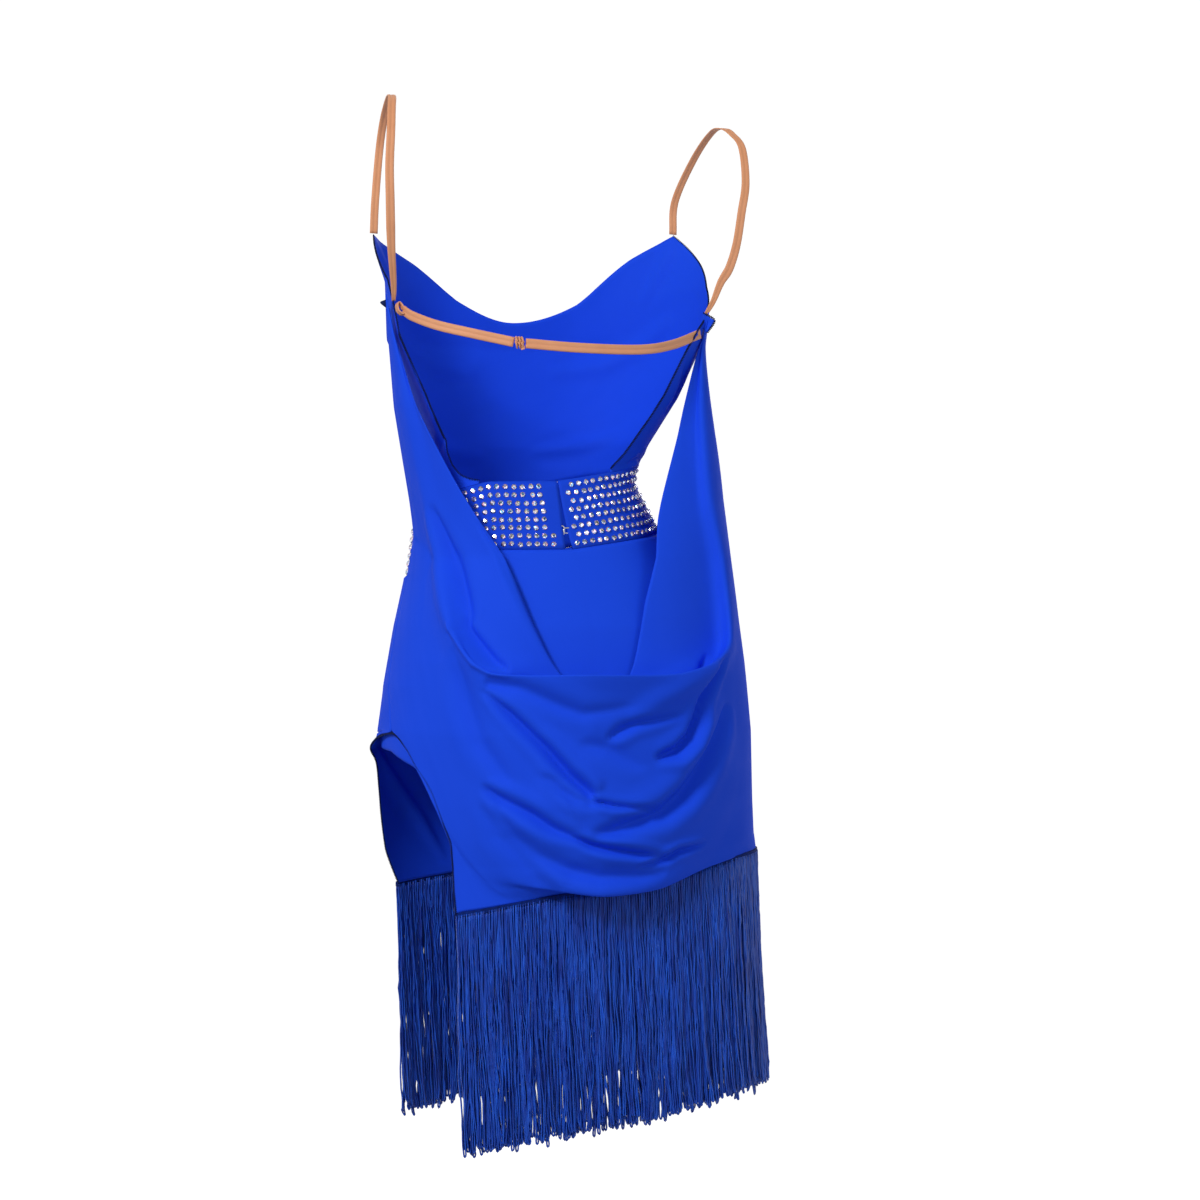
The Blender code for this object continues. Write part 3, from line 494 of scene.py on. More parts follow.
def drape_grid(us, vs):
    """Points of the drape: us from the left edge to the right, vs from neck edge to hem."""
    keys = np.array([line[1:] for line in DRAPE_LINES], float)
    down = spline_weights(keys.shape[0], np.asarray(vs) * (keys.shape[0] - 1))
    across = spline_weights(keys.shape[1], np.asarray(us) * (keys.shape[1] - 1), PULL_ACROSS)
    turn, height, out = np.moveaxis(np.einsum("vi,ijk,uj->vuk", down, keys, across), 2, 0)
    out = out + crease_depth(DRAPE_CREASES, turn, height)
    u = np.asarray(us)[None, :]
    sewn = np.clip((SEAM_TOP - height * MM) / SEAM_EASE, 0, 1)
    near_left = np.clip(1 - u / LEFT_SEAM_SHARE, 0, None) ** 2 * sewn
    near_right = np.clip(1 - (1 - u) / RIGHT_SEAM_SHARE, 0, None) ** 1.5 * sewn
    left_turn = column(LEFT_SEAM + BACK_SLIT, height) - 360 + SEAM_TURN
    right_turn = column(RIGHT_SEAM, height) - SEAM_TURN
    turn = turn + (left_turn - turn) * near_left + (right_turn - turn) * near_right
    loose = oval(HANG, turn, height * MM, out * MM)
    sewn_down = skirt_skin(turn, height * MM)
    at_edge = np.maximum(near_left, near_right)[..., None]
    return clear_of_body(loose + (sewn_down - loose) * at_edge)


def front_skirt_grid(us, downs):
    """Points of the front panel: us from the right seam to the left, downs from band to hem."""
    us, downs = np.meshgrid(us, downs)
    turn = np.full(us.shape, 180.0)
    for _ in range(6):      # the hem's height and the seams' turns follow each other
        top = band_lower(turn) - 3 * SEAM
        foot = column(FRONT_HEM, turn) * MM
        height = top + (foot - top) * downs
        right = column(RIGHT_SEAM, height / MM) + SEAM_TURN
        left = column(LEFT_SEAM + FRONT_SLIT, height / MM) - SEAM_TURN
        turn = right + (left - right) * us
    flare = (FLARE_OUT * np.exp(-((height - FLARE_HEIGHT) / FLARE_REACH) ** 2)
             * np.exp(-(1 - us) / FLARE_SHARE))
    creased = crease_depth(SKIRT_CREASES, turn, height / MM) * MM
    return clear_of_body(skirt_skin(turn, height, flare + creased))


def slit_line():
    """The slit's edge in one line: up the front panel, over the top and down the drape."""
    front = front_skirt_grid([1.0], np.linspace(0.4, 1, 140))[::-1, 0]
    back = drape_grid([0.0], np.linspace(0.4, 1, 160))[:, 0]
    line = np.concatenate([front[front[:, 2] < SLIT_TOP], back[back[:, 2] < SLIT_TOP]])
    eased = line.copy()
    for _ in range(3):
        eased[1:-1] = (eased[:-2] + 2 * eased[1:-1] + eased[2:]) / 4
    return eased


def band_lower(turn):
    """Height of the band's lower edge at turns."""
    return column(BAND_LOWER, np.asarray(turn) % 360) * MM


def opening_middle(up):
    """Turn of the back opening's middle at a share of the band's height."""
    top, foot = BACK_OPENING_LEAN
    return foot + (top - foot) * up


def bodice_upper(turns):
    """Heights of the bodice's upper edge at turns from 0 to 360."""
    heights = []
    for turn in np.ravel(turns):
        table = BODICE_RIGHT if turn <= 180 else BODICE_LEFT
        turn = turn if turn <= 180 else 360 - turn
        n = max([k for k in range(len(table) - 1) if table[k][0] <= turn + 1e-6] or [0])
        (a, low), (b, high) = table[n], table[n + 1]
        slope = (high - low) / (b - a)
        t = (turn - a) / (b - a)
        start = 0.5 * (slope + (low - table[n - 1][1]) / (a - table[n - 1][0])) if n else slope
        end = 0.0 if b == 180 else slope
        if a in SHARP_TURNS:
            start = slope
        ease = (b - a) * ((start - slope) * t * (1 - t) ** 2 - (end - slope) * t * t * (1 - t))
        heights.append((low + (high - low) * t + ease) * MM)
    return np.array(heights)


# ---------------------------------------------------------------- meshes

def piece(name, points, faces, finish, smooth=True):
    """A mesh that rides with the dress, with the finish that it is given."""
    mesh = bpy.data.meshes.new(name)
    mesh.from_pydata(np.asarray(points, float).tolist(), [], faces)
    if smooth:
        mesh.shade_smooth()
    mesh.materials.append(finish)
    made = bpy.data.objects.new(name, mesh)
    bpy.context.scene.collection.objects.link(made)
    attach(made, "root")
    return made


def grid_faces(rows, cols, tube):
    """Four-sided faces between the points of a grid, closed round on itself for a tube."""
    last = cols if tube else cols - 1
    a, b = (side.ravel() for side in np.meshgrid(np.arange(rows - 1), np.arange(last),
                                                 indexing="ij"))
    right = (b + 1) % cols
    quads = [a * cols + b, (a + 1) * cols + b, (a + 1) * cols + right, a * cols + right]
    return np.stack(quads, axis=1).tolist()


def shell(name, grid, finish, thick=JERSEY_THICK, tube=False):
    """A thin cloth on a grid of points, rows down and columns across, with its length along
    the cloth kept in a UV map in metres."""
    rows, cols = grid.shape[:2]
    made = piece(name, grid.reshape(-1, 3), grid_faces(rows, cols, tube), finish)
    mesh = made.data
    step_down = np.linalg.norm(np.diff(grid, axis=0), axis=2)
    step_across = np.linalg.norm(np.diff(grid, axis=1), axis=2)
    v = np.vstack([np.zeros(cols), np.cumsum(step_down, axis=0)])
    u = np.hstack([np.zeros((rows, 1)), np.cumsum(step_across, axis=1)])
    coords = np.stack([u, -v], axis=2).reshape(-1, 2)
    layer = mesh.uv_layers.new(name="cloth")
    corners = np.empty(len(mesh.loops), int)
    mesh.loops.foreach_get("vertex_index", corners)
    layer.data.foreach_set("uv", coords[corners].ravel())
    wall = made.modifiers.new("wall", "SOLIDIFY")
    wall.thickness = thick
    wall.offset = 0.0
    return made


def frames(lines, sideways=(0.0, 0.0, 1.0)):
    """Two directions across each point of lines (lines, points, 3), one near to sideways."""
    ahead = np.gradient(lines, axis=1)
    ahead /= np.linalg.norm(ahead, axis=2, keepdims=True)
    wide = np.broadcast_to(np.array(sideways, float), ahead.shape)
    wide = wide - ahead * np.sum(wide * ahead, axis=2, keepdims=True)
    wide /= np.linalg.norm(wide, axis=2, keepdims=True)
    return wide, np.cross(ahead, wide)


def swept(name, lines, outline, finish, sideways=(0.0, 0.0, 1.0), taper=1.0):
    """One mesh of a closed outline (across, out, in metres) swept along each of lines."""
    lines = np.asarray(lines, float)
    many, count = lines.shape[:2]
    sides = len(outline)
    across, out = np.asarray(outline, float).T[..., None]
    wide, thin = frames(lines, sideways)
    taper = np.broadcast_to(taper, (many, count))[..., None, None]
    rings = (lines[:, :, None] + wide[:, :, None] * across * taper
             + thin[:, :, None] * out * taper)
    line, ring, side = np.meshgrid(np.arange(many), np.arange(count - 1), np.arange(sides),
                                   indexing="ij")
    start = ((line * count + ring) * sides).ravel()
    side = side.ravel()
    other = (side + 1) % sides
    quads = np.stack([start + side, start + other, start + sides + other, start + sides + side],
                     axis=1).tolist()
    ends = []
    for first in range(0, many * count * sides, count * sides):
        last = first + (count - 1) * sides
        ends.append(list(range(first, first + sides))[::-1])
        ends.append(list(range(last, last + sides)))
    return piece(name, rings.reshape(-1, 3), quads + ends, finish)


def round_outline(width, sides):
    angles = np.arange(sides) * 2 * np.pi / sides
    return np.stack([np.cos(angles), np.sin(angles)], axis=1) * width / 2


# ---------------------------------------------------------------- cloth pieces

def cowl_drape(finish):
    """The back in one folded panel, from the bodice's corners down to the back hem."""
    rows = np.interp(np.linspace(0, 1, 200), *DRAPE_ROWS)
    return shell("drape_cloth", drape_grid(np.linspace(0, 1, 236), rows), finish)


def close_cloth(turns, foot, top, rows, creases):
    """Points of cloth that lies on the body, from foot to top, with its creases."""
    heights = foot + (top - foot) * np.linspace(0, 1, rows)[:, None]
    out = LIE_OUT + crease_depth(creases, turns[None, :], heights / MM) * MM
    return oval(FIGURE, turns[None, :], heights, out)


def front_bodice(finish):
    """The front and both sides in one piece, from the band up to the strap points."""
    corners = (RIGHT_CORNER_TURN, STRAP_TURN_RIGHT, 360 - STRAP_TURN_LEFT, 360 - LEFT_CORNER_TURN)
    first, last = BODICE_RIGHT[0][0], 360 - BODICE_LEFT[0][0]
    turns = np.unique(np.append(np.linspace(first, last, 170), corners))
    foot = band_lower(turns) + BAND_HEIGHT + 1.6 * SEAM
    grid = close_cloth(turns, foot, bodice_upper(turns), 46, BODICE_CREASES)
    return shell("bodice_cloth", grid, finish)


def brief(finish):
    """The close tube round the hips, from the band to the leg edges."""
    turns = np.arange(0, 360, 2.0)
    leg_edge = column(BRIEF_LOWER, turns) * MM
    grid = close_cloth(turns, band_lower(turns) - SEAM, leg_edge, 70, BRIEF_CREASES)
    return shell("brief_cloth", grid, finish, tube=True)


def gusset(finish):
    """The strip between the legs, narrower in the middle."""
    ends = [oval(FIGURE, turn, float(column(BRIEF_LOWER, turn)) * MM, LIE_OUT) for turn in (0, 180)]
    back, front = (end - UP * 2 * SEAM for end in ends)
    t = np.linspace(0, 1, 40)[:, None, None]
    s = np.linspace(-0.5, 0.5, 14)[None, :, None]
    place = back + (front - back) * (0.5 - 0.5 * np.cos(np.pi * t))
    drop = GUSSET_SAG * np.clip(np.sin(np.pi * t), 0, None) ** 0.8
    waist = 1 - GUSSET_WAIST * np.sin(np.pi * t)
    grid = place + ASIDE * GUSSET_WIDTH * waist * s - UP * drop
    return shell("gusset_cloth", grid, finish)


def front_skirt(finish):
    """The front panel from seam to seam, with the slit's edge."""
    us = np.linspace(0, 1, 120) ** 0.8      # closer together towards the slit
    return shell("front_skirt_cloth", front_skirt_grid(us, np.linspace(0, 1, 130)), finish)


def waistband(finish):
    """The band's cloth, from the right of the back opening round to its left."""
    grid = []
    for up in np.linspace(0, 1, 12):
        gap = BACK_OPENING_TOP + (BACK_OPENING_FOOT - BACK_OPENING_TOP) * (1 - up) ** 2
        spare = math.degrees(gap / 2 / WAIST_DEPTH)
        turns = np.linspace(spare, 360 - spare, 180) + opening_middle(up)
        grid.append(oval(FIGURE, turns, band_lower(turns) + BAND_HEIGHT * up, LIE_OUT))
    return shell("band_cloth", np.array(grid), finish, BAND_THICK)


def stone(width, height, facets=8):
    """Points and faces of a flat-backed crystal that faces +Z: girdle, crown and table."""
    points, faces = [], []
    rings = ((0.5, 0.0, 0.0), (0.5, 0.22, 0.0), (0.42, 0.62, 0.5), (0.24, 1.0, 0.0))
    for radius, up, shift in rings:
        for k in range(facets):
            angle = 2 * math.pi * (k + shift) / facets
            points.append((radius * width * math.cos(angle), radius * width * math.sin(angle),
                           up * height))
    for ring in range(len(rings) - 1):
        a, b = ring * facets, (ring + 1) * facets
        late = rings[ring + 1][2] > rings[ring][2]
        flat = rings[ring + 1][2] == rings[ring][2]
        for k in range(facets):
            n = (k + 1) % facets
            if flat:
                faces.append([a + k, a + n, b + n, b + k])
            elif late:
                faces += [[a + k, a + n, b + k], [a + n, b + n, b + k]]
            else:
                faces += [[a + k, b + n, b + k], [a + k, a + n, b + n]]
    top = (len(rings) - 1) * facets
    faces.append([top + k for k in range(facets)])
    faces.append([k for k in range(facets)][::-1])
    return np.array(points), faces


def stones(finish):
    """Staggered rows of crystals on the band, set flat on its outer face."""
    form, form_faces = stone(STONE_WIDTH, STONE_HEIGHT)
    rng = np.random.default_rng(7)
    points, faces = [], []
    turns = np.linspace(0, 360, 2000)
    for row in range(STONE_ROWS):
        up = STONE_EDGE + (BAND_HEIGHT - 2 * STONE_EDGE) * row / (STONE_ROWS - 1)
        length = lengths_along(oval(FIGURE, turns, band_lower(turns) + up, BAND_FACE))
        middle = math.radians(opening_middle(up / BAND_HEIGHT)) * WAIST_DEPTH
        start = BARE_RIGHT + middle + (STONE_PITCH / 2 if row % 2 else 0)
        count = int((length[-1] - BARE_LEFT + middle - start) / STONE_PITCH)
        for k in range(count + 1):
            place = start + k * STONE_PITCH + rng.normal(0, STONE_WANDER)
            turn = float(np.interp(place, length, turns))
            height = float(band_lower(turn)) + up + rng.normal(0, STONE_RISE)
            seat = oval(FIGURE, turn, height, BAND_FACE)
            ahead = one_long(oval(FIGURE, turn + 1, height, BAND_FACE) - seat)
            above = oval(FIGURE, turn, height + 4 * MM, BAND_FACE) - seat
            above = one_long(above - ahead * above.dot(ahead))
            tilt = ahead * rng.normal(0, STONE_TILT) + above * rng.normal(0, STONE_TILT)
            out = one_long(np.cross(ahead, above) + tilt)
            ahead = one_long(ahead - out * ahead.dot(out))
            spin = rng.uniform(0, math.pi / 4)
            x = ahead * math.cos(spin) + np.cross(out, ahead) * math.sin(spin)
            base = len(points) * len(form)
            points.append(form @ np.stack([x, np.cross(out, x), out]) + seat)
            faces += [[base + n for n in face] for face in form_faces]
    return piece("band_stones", np.concatenate(points), faces, finish, smooth=False)


# ---------------------------------------------------------------- straps

def ribbed_outline(width, thick):
    """A flat elastic with a rounded rib along each edge and a groove down the middle."""
    half = width / 2
    top = [(-half, 0.0), (-0.86 * half, 0.42 * thick), (-0.5 * half, 0.5 * thick),
           (-0.14 * half, 0.36 * thick), (0.0, 0.2 * thick), (0.14 * half, 0.36 * thick),
           (0.5 * half, 0.5 * thick), (0.86 * half, 0.42 * thick), (half, 0.0)]
    return top + [(x, -y) for x, y in top[-2:0:-1]]


def elastic(name, places, sideways, finish, taper=(1.0, 1.0)):
    """The elastic laid along a smooth line; taper is its share of the full width, evenly."""
    count = 110
    narrowed = np.interp(np.linspace(0, len(taper) - 1, count), np.arange(len(taper)), taper)
    return swept(name, [smooth_line(np.array(places) * MM, count)],
                 ribbed_outline(STRAP_WIDTH, STRAP_THICK), finish, sideways, narrowed)


def shoulder_elastic(name, places, front, back, finish):
    """A shoulder strap from the bodice's strap point to its back corner, gathered there."""
    start, end = (oval(FIGURE, turn, float(bodice_upper(turn)[0]) + STRAP_END)
                  for turn in (front, back))
    return elastic(name, (tuple(start / MM), *places, tuple(end / MM)), (1, 0, 0), finish,
                   SHOULDER_TAPER)


def strap_knot(finish):
    """The back strap's knot: the elastic wound round itself, and one short tail."""
    centre = np.array(KNOT_CENTRE) * MM
    count = 110
    t = np.linspace(0, 2 * np.pi * KNOT_TURNS, count)
    long, high, deep = (size * MM for size in KNOT_SIZE)
    across = np.array([0.98, -0.19, 0.0])
    out = np.array([-0.19, -0.98, 0.0])
    wraps = (centre + across * ((t / t[-1] - 0.5) * long)[:, None]
             + UP * (np.cos(t) * high)[:, None] + out * (np.sin(t) * deep)[:, None])
    tail = smooth_line(np.array(KNOT_TAIL) * MM, count) + centre
    return swept("knot_wraps", [wraps, tail], ribbed_outline(*KNOT_ELASTIC), finish)


def corner_loop(places, finish):
    """The loop of elastic that joins the back strap to the bodice's left corner."""
    return swept("corner_loop", [smooth_line(np.array(places) * MM, 60)],
                 ribbed_outline(*LOOP_ELASTIC), finish, (0.3, -0.9, 0.3))


def corner_tab(name, corners, bulge, finish):
    """A scrap of folded jersey left at a bodice corner: a four-sided patch, a little domed.
    Its corners go round it."""
    a, b, c, d = np.array(corners) * MM
    u, v = (grid[..., None] for grid in np.meshgrid(np.linspace(0, 1, 9), np.linspace(0, 1, 9)))
    flat = (a * (1 - u) + b * u) * (1 - v) + (d * (1 - u) + c * u) * v
    normal = one_long(np.cross(b - a, d - a))
    return shell(name, flat + normal * bulge * np.sin(np.pi * u) * np.sin(np.pi * v), finish)


def band_hook(finish):
    """A bent wire hook on one end of the band, and the bar it takes on the other."""
    height = float(band_lower(0)) + HOOK_HEIGHT
    middle = oval(FIGURE, opening_middle(HOOK_HEIGHT / BAND_HEIGHT), height, LIE_OUT + 0.6 * MM)
    lines = [smooth_line(np.array(wire) * MM, 40) + middle for wire in (HOOK, BAR)]
    return swept("hook_and_bar", lines, round_outline(WIRE_WIDTH, 8), finish,
                 (0.0, 1.0, 0.0))


# ---------------------------------------------------------------- threads

def overlock(name, edge, finish):
    """Overlock thread: one helix of thread wound round a raw edge, with a cord along it."""
    edge = np.asarray(edge, float)
    length = lengths_along(edge)
    turns = max(int(length[-1] / OVERLOCK_PITCH), 4)
    t = np.linspace(0, 1, turns * 7)
    core = np.stack([np.interp(t * length[-1], length, edge[:, k]) for k in range(3)], axis=1)
    wide, thin = frames(core[None])
    angle = t * turns * 2 * np.pi
    wound = (core + wide[0] * (np.cos(angle) * OVERLOCK_REACH)[:, None]
             + thin[0] * (np.sin(angle) * OVERLOCK_REACH * 0.55)[:, None])
    return swept(name, [wound, core], round_outline(OVERLOCK_WIDTH, 5), finish)


def thread_pair(rng, root, out, along, length):
    """One looped thread: down one leg, round a small loop and up the other, a little crimped."""
    z = np.linspace(0, 1, THREAD_STEPS)
    sway = sum(rng.normal(0, size) * np.sin(z * waves * np.pi + rng.uniform(0, 6.28))
               for size, waves in SWAYS) * MM
    depth = rng.normal(0, DEPTH_SPREAD) * z
    depth = (depth + rng.normal(0, DEPTH_WAVE) * np.sin(z * 5 + rng.uniform(0, 6)) * z) * MM
    apart = (LEGS_APART - LEGS_DRAWN * np.sin(np.pi * z) ** 2) / 2 * MM
    drift = FRINGE_LEAN * z ** 1.2 + rng.normal(0, TIP_SPREAD) * MM * z ** 2
    legs = []
    for side in (-1, 1):
        crimp = np.cumsum(rng.normal(0, CRIMP, THREAD_STEPS)) * np.sin(np.pi * z) ** 0.5 * MM
        across = side * apart + (sway - sway[0]) * (0.6 + 0.8 * z) + crimp
        uneven = rng.normal(0, DEPTH_CRIMP, THREAD_STEPS) * MM
        legs.append(root + along * across[:, None] + ASIDE * drift[:, None]
                    + out * (depth + uneven)[:, None] - UP * (z * length)[:, None])
    bottom = (legs[0][-1] + legs[1][-1]) / 2
    curl = rng.normal(0, 1.0)
    loop = [bottom + along * (math.cos(a) * LOOP_WIDTH * MM) + out * (math.sin(a) * curl * MM)
            - UP * (math.sin(a) * LOOP_DROP * MM) for a in (2.3, 1.57, 0.8)]
    return np.concatenate([legs[0], np.array(loop), legs[1][::-1]])


def hem_fringe(prefix, hem, drop, finish, seed):
    """Fringe in layers under a hem line, each layer a row of looped threads."""
    rng = np.random.default_rng(seed)
    length = lengths_along(hem)
    count = int(length[-1] / THREAD_PITCH)
    made = []
    for layer in range(FRINGE_LAYERS):
        lines = []
        for k in range(count):
            stray = LAYER_STAGGER * (layer - 1) + rng.normal(0, PITCH_SPREAD)
            place = (k + 0.5 + stray) / count * length[-1]
            place = float(np.clip(place, THREAD_WIDTH, length[-1] - THREAD_WIDTH))
            here, before, after = (
                np.array([np.interp(at, length, hem[:, i]) for i in range(3)])
                for at in (place, max(place - 2 * MM, 0), min(place + 2 * MM, length[-1])))
            ahead = one_long((after - before) * (1, 1, 0))
            out = np.array([ahead[1], -ahead[0], 0.0])
            root = here + out * (layer - (FRINGE_LAYERS - 1) / 2) * LAYER_APART
            root = root - UP * (drop + ROOT_DROP)
            reach = (FRINGE_LENGTH - LOOP_ROOM + rng.normal(0, LENGTH_SPREAD)
                     - rng.exponential(SHORT_SPREAD))
            lines.append(thread_pair(rng, root, out, ahead, reach))
        made.append(swept(f"{prefix}_threads_{layer + 1}", lines, round_outline(THREAD_WIDTH, 3),
                          finish, (1.0, 0.0, 0.0)))
    return made


def fringe_tape(name, hem, drop, finish):
    """The woven tape that carries the threads, a little proud of them."""
    ups = np.linspace(0, 1, 5)[:, None, None]
    grid = hem[None] - UP * (drop + (ups * 1.1 - 0.3) * TAPE_SHOWS)
    return shell(name, grid, finish, TAPE_THICK)


# ---------------------------------------------------------------- finishes

def fill(tree, node, **values):
    """Gives a node's inputs their values, each a number, a colour or another node's output."""
    for label, value in values.items():
        connect(tree, value, node.inputs[label.replace("_", " ")])


def connect(tree, value, socket):
    """Joins another node's output to a socket, or sets the socket to a number or a colour."""
    if isinstance(value, bpy.types.NodeSocket):
        tree.links.new(value, socket)
    elif isinstance(value, tuple):
        socket.default_value = (*value, 1.0)
    elif value is not None:
        socket.default_value = value


def group(name, inputs, outputs):
    """An empty shader group; inputs are (name, socket type, value), outputs (name, type)."""
    made = bpy.data.node_groups.new(name, "ShaderNodeTree")
    for label, kind, value in inputs:
        socket = made.interface.new_socket(label, in_out="INPUT", socket_type=kind)
        if value is not None:
            socket.default_value = value
    for label, kind in outputs:
        made.interface.new_socket(label, in_out="OUTPUT", socket_type=kind)
    return made, made.nodes.new("NodeGroupInput").outputs, made.nodes.new("NodeGroupOutput")


def math_node(tree, operation, a, b=None, clamp=False):
    """A math node with each input a socket or a number; gives its output."""
    node = tree.nodes.new("ShaderNodeMath")
    node.operation = operation
    node.use_clamp = clamp
    connect(tree, a, node.inputs[0])
    connect(tree, b, node.inputs[1])
    return node.outputs[0]


def times(tree, a, b, clamp=False):
    return math_node(tree, "MULTIPLY", a, b, clamp)


def plus(tree, a, b, clamp=False):
    return math_node(tree, "ADD", a, b, clamp)


def wave(tree, a, steps):
    """A sine wave of a place, steps radians to the metre."""
    return math_node(tree, "SINE", times(tree, a, steps))


def mix_colour(tree, factor, a, b):
    node = tree.nodes.new("ShaderNodeMix")
    node.data_type = "RGBA"
    for value, socket in ((factor, 0), (a, 6), (b, 7)):
        connect(tree, value, node.inputs[socket])
    return node.outputs[2]


def noise(tree, vector, scale, detail=2.0):
    node = tree.nodes.new("ShaderNodeTexNoise")
    fill(tree, node, Vector=vector, Scale=scale, Detail=detail)
    return node.outputs["Fac"]


def axes(tree, vector):
    """The three numbers of a vector."""
    node = tree.nodes.new("ShaderNodeSeparateXYZ")
    connect(tree, vector, node.inputs[0])
    return node.outputs


def knit_grain_group():
    """Fine stretch knit: wales and courses a fraction of a millimetre apart, with soft mottle."""
    tree, given, put = group(
        "knit grain",
        (("Along Cloth", "NodeSocketVector", None), ("Colour", "NodeSocketColor", (0, 0, 1, 1)),
         ("Shade", "NodeSocketColor", (0, 0, 0.5, 1)),
         ("Stitches per Metre", "NodeSocketFloat", 1400.0), ("Mottle", "NodeSocketFloat", 0.2),
         ("Roughness", "NodeSocketFloat", 0.5)),
        (("Colour", "NodeSocketColor"), ("Roughness", "NodeSocketFloat"),
         ("Height", "NodeSocketFloat")))
    x, y, _ = axes(tree, given["Along Cloth"])
    wale = wave(tree, x, times(tree, given["Stitches per Metre"], WALE_STEP))
    course = wave(tree, y, times(tree, given["Stitches per Metre"], COURSE_STEP))
    stitch = times(tree, plus(tree, wale, course), 0.25)
    fine = noise(tree, given["Along Cloth"], 900.0)
    broad = noise(tree, given["Along Cloth"], 22.0, 3.0)
    mottle = plus(tree, times(tree, broad, 0.7), times(tree, fine, 0.5))
    mottle = times(tree, mottle, given["Mottle"], clamp=True)
    uneven = times(tree, math_node(tree, "SUBTRACT", broad, 0.5), 0.25)
    fill(tree, put, Colour=mix_colour(tree, mottle, given["Colour"], given["Shade"]),
         Roughness=plus(tree, given["Roughness"], uneven, clamp=True),
         Height=plus(tree, stitch, fine))
    return tree


def thread_twist_group():
    """Twisted thread: slanting plies down each strand, and strands that differ in tone."""
    tree, given, put = group(
        "thread twist",
        (("Place", "NodeSocketVector", None), ("Colour", "NodeSocketColor", (0, 0, 1, 1)),
         ("Shade", "NodeSocketColor", (0, 0, 0.5, 1)),
         ("Plies per Metre", "NodeSocketFloat", 450.0), ("Variation", "NodeSocketFloat", 0.5)),
        (("Colour", "NodeSocketColor"), ("Height", "NodeSocketFloat")))
    x, _, z = axes(tree, given["Place"])
    slant = plus(tree, z, times(tree, x, 0.8))
    ply = wave(tree, slant, times(tree, given["Plies per Metre"], ROUND))
    drawn_out = tree.nodes.new("ShaderNodeVectorMath")
    drawn_out.operation = "MULTIPLY"
    drawn_out.inputs[1].default_value = (1.0, 1.0, 0.06)
    connect(tree, given["Place"], drawn_out.inputs[0])
    strand = noise(tree, drawn_out.outputs[0], 420.0)
    tone = times(tree, math_node(tree, "SUBTRACT", strand, 0.35),
                 times(tree, given["Variation"], 3.0), clamp=True)
    fill(tree, put, Colour=mix_colour(tree, tone, given["Shade"], given["Colour"]),
         Height=plus(tree, times(tree, ply, 0.5), 0.5))
    return tree


def finish_material(name):
    made = bpy.data.materials.new(name)
    made.use_nodes = True
    return made, made.node_tree, made.node_tree.nodes["Principled BSDF"]


def object_place(tree):
    return tree.nodes.new("ShaderNodeTexCoord").outputs["Object"]


def place_group(tree, shared, **values):
    node = tree.nodes.new("ShaderNodeGroup")
    node.node_tree = shared
    fill(tree, node, **values)
    return node.outputs


def bump(tree, shader, height, strength, distance):
    node = tree.nodes.new("ShaderNodeBump")
    fill(tree, node, Strength=strength, Distance=distance, Height=height)
    fill(tree, shader, Normal=node.outputs[0])


def cloth_finish(name, knit, colour, shade, rough):
    made, tree, shader = finish_material(name)
    along = tree.nodes.new("ShaderNodeUVMap")
    along.uv_map = "cloth"
    grain = place_group(tree, knit, Along_Cloth=along.outputs[0], Colour=colour, Shade=shade,
                        Mottle=MOTTLE, Roughness=rough)
    bump(tree, shader, grain["Height"], 0.25, 0.15 * MM)
    fill(tree, shader, Base_Color=grain["Colour"], Roughness=grain["Roughness"],
         Specular_IOR_Level=0.03)
    return made


def thread_finish(name, twist, colour, shade, rough, variation, shine):
    made, tree, shader = finish_material(name)
    strand = place_group(tree, twist, Place=object_place(tree), Colour=colour, Shade=shade,
                         Variation=variation)
    bump(tree, shader, strand["Height"], 0.5, 0.25 * MM)
    fill(tree, shader, Base_Color=strand["Colour"], Roughness=rough, Specular_IOR_Level=shine)
    return made


def crystal_finish():
    """Coated crystal: facets silvery, pink, blue or straw with the way they face, and some near
    black as painted dark reflection.
    """
    made, tree, shader = finish_material("coated_crystal_with_painted_reflections")
    each = noise(tree, object_place(tree), 130.0, 0.0)
    facing = tree.nodes.new("ShaderNodeNewGeometry").outputs["True Normal"]
    x, _, z = axes(tree, facing)
    mixed = plus(tree, times(tree, x, 2.3), times(tree, z, 3.1))
    turned = math_node(tree, "FRACT", plus(tree, mixed, times(tree, each, 5.0)))
    ramp = tree.nodes.new("ShaderNodeValToRGB")
    while len(ramp.color_ramp.elements) < len(CRYSTAL_TINTS_AND_DARK_REFLECTIONS):
        ramp.color_ramp.elements.new(0.5)
    for element, (position, colour) in zip(ramp.color_ramp.elements, CRYSTAL_TINTS_AND_DARK_REFLECTIONS):
        element.position = position
        element.color = (*colour, 1)
    connect(tree, turned, ramp.inputs[0])
    fill(tree, shader, Base_Color=ramp.outputs[0], Metallic=0.85, Roughness=0.08)
    return made


def elastic_finish(name, colour, shade):
    """Ribbed elastic: fine cross ribs and lengthwise cords in a nude yarn."""
    made, tree, shader = finish_material(name)
    place = object_place(tree)
    fine = noise(tree, place, 1500.0, 1.0)
    broad = noise(tree, place, 60.0)
    x, _, z = axes(tree, place)
    rib = wave(tree, plus(tree, z, x), ROUND / ELASTIC_RIB)
    tone = plus(tree, times(tree, broad, 0.6), times(tree, fine, 0.3), clamp=True)
    bump(tree, shader, plus(tree, times(tree, rib, 0.4), fine), 0.4, 0.2 * MM)
    fill(tree, shader, Base_Color=mix_colour(tree, tone, shade, colour), Roughness=0.55,
         Sheen_Weight=0.2)
    return made


def steel_finish():
    made, tree, shader = finish_material("hook_steel")
    worn = noise(tree, object_place(tree), 700.0, 3.0)
    fill(tree, shader, Base_Color=mix_colour(tree, worn, (0.55, 0.56, 0.60), (0.28, 0.29, 0.33)),
         Roughness=plus(tree, times(tree, worn, 0.3), 0.12), Metallic=1.0)
    return made


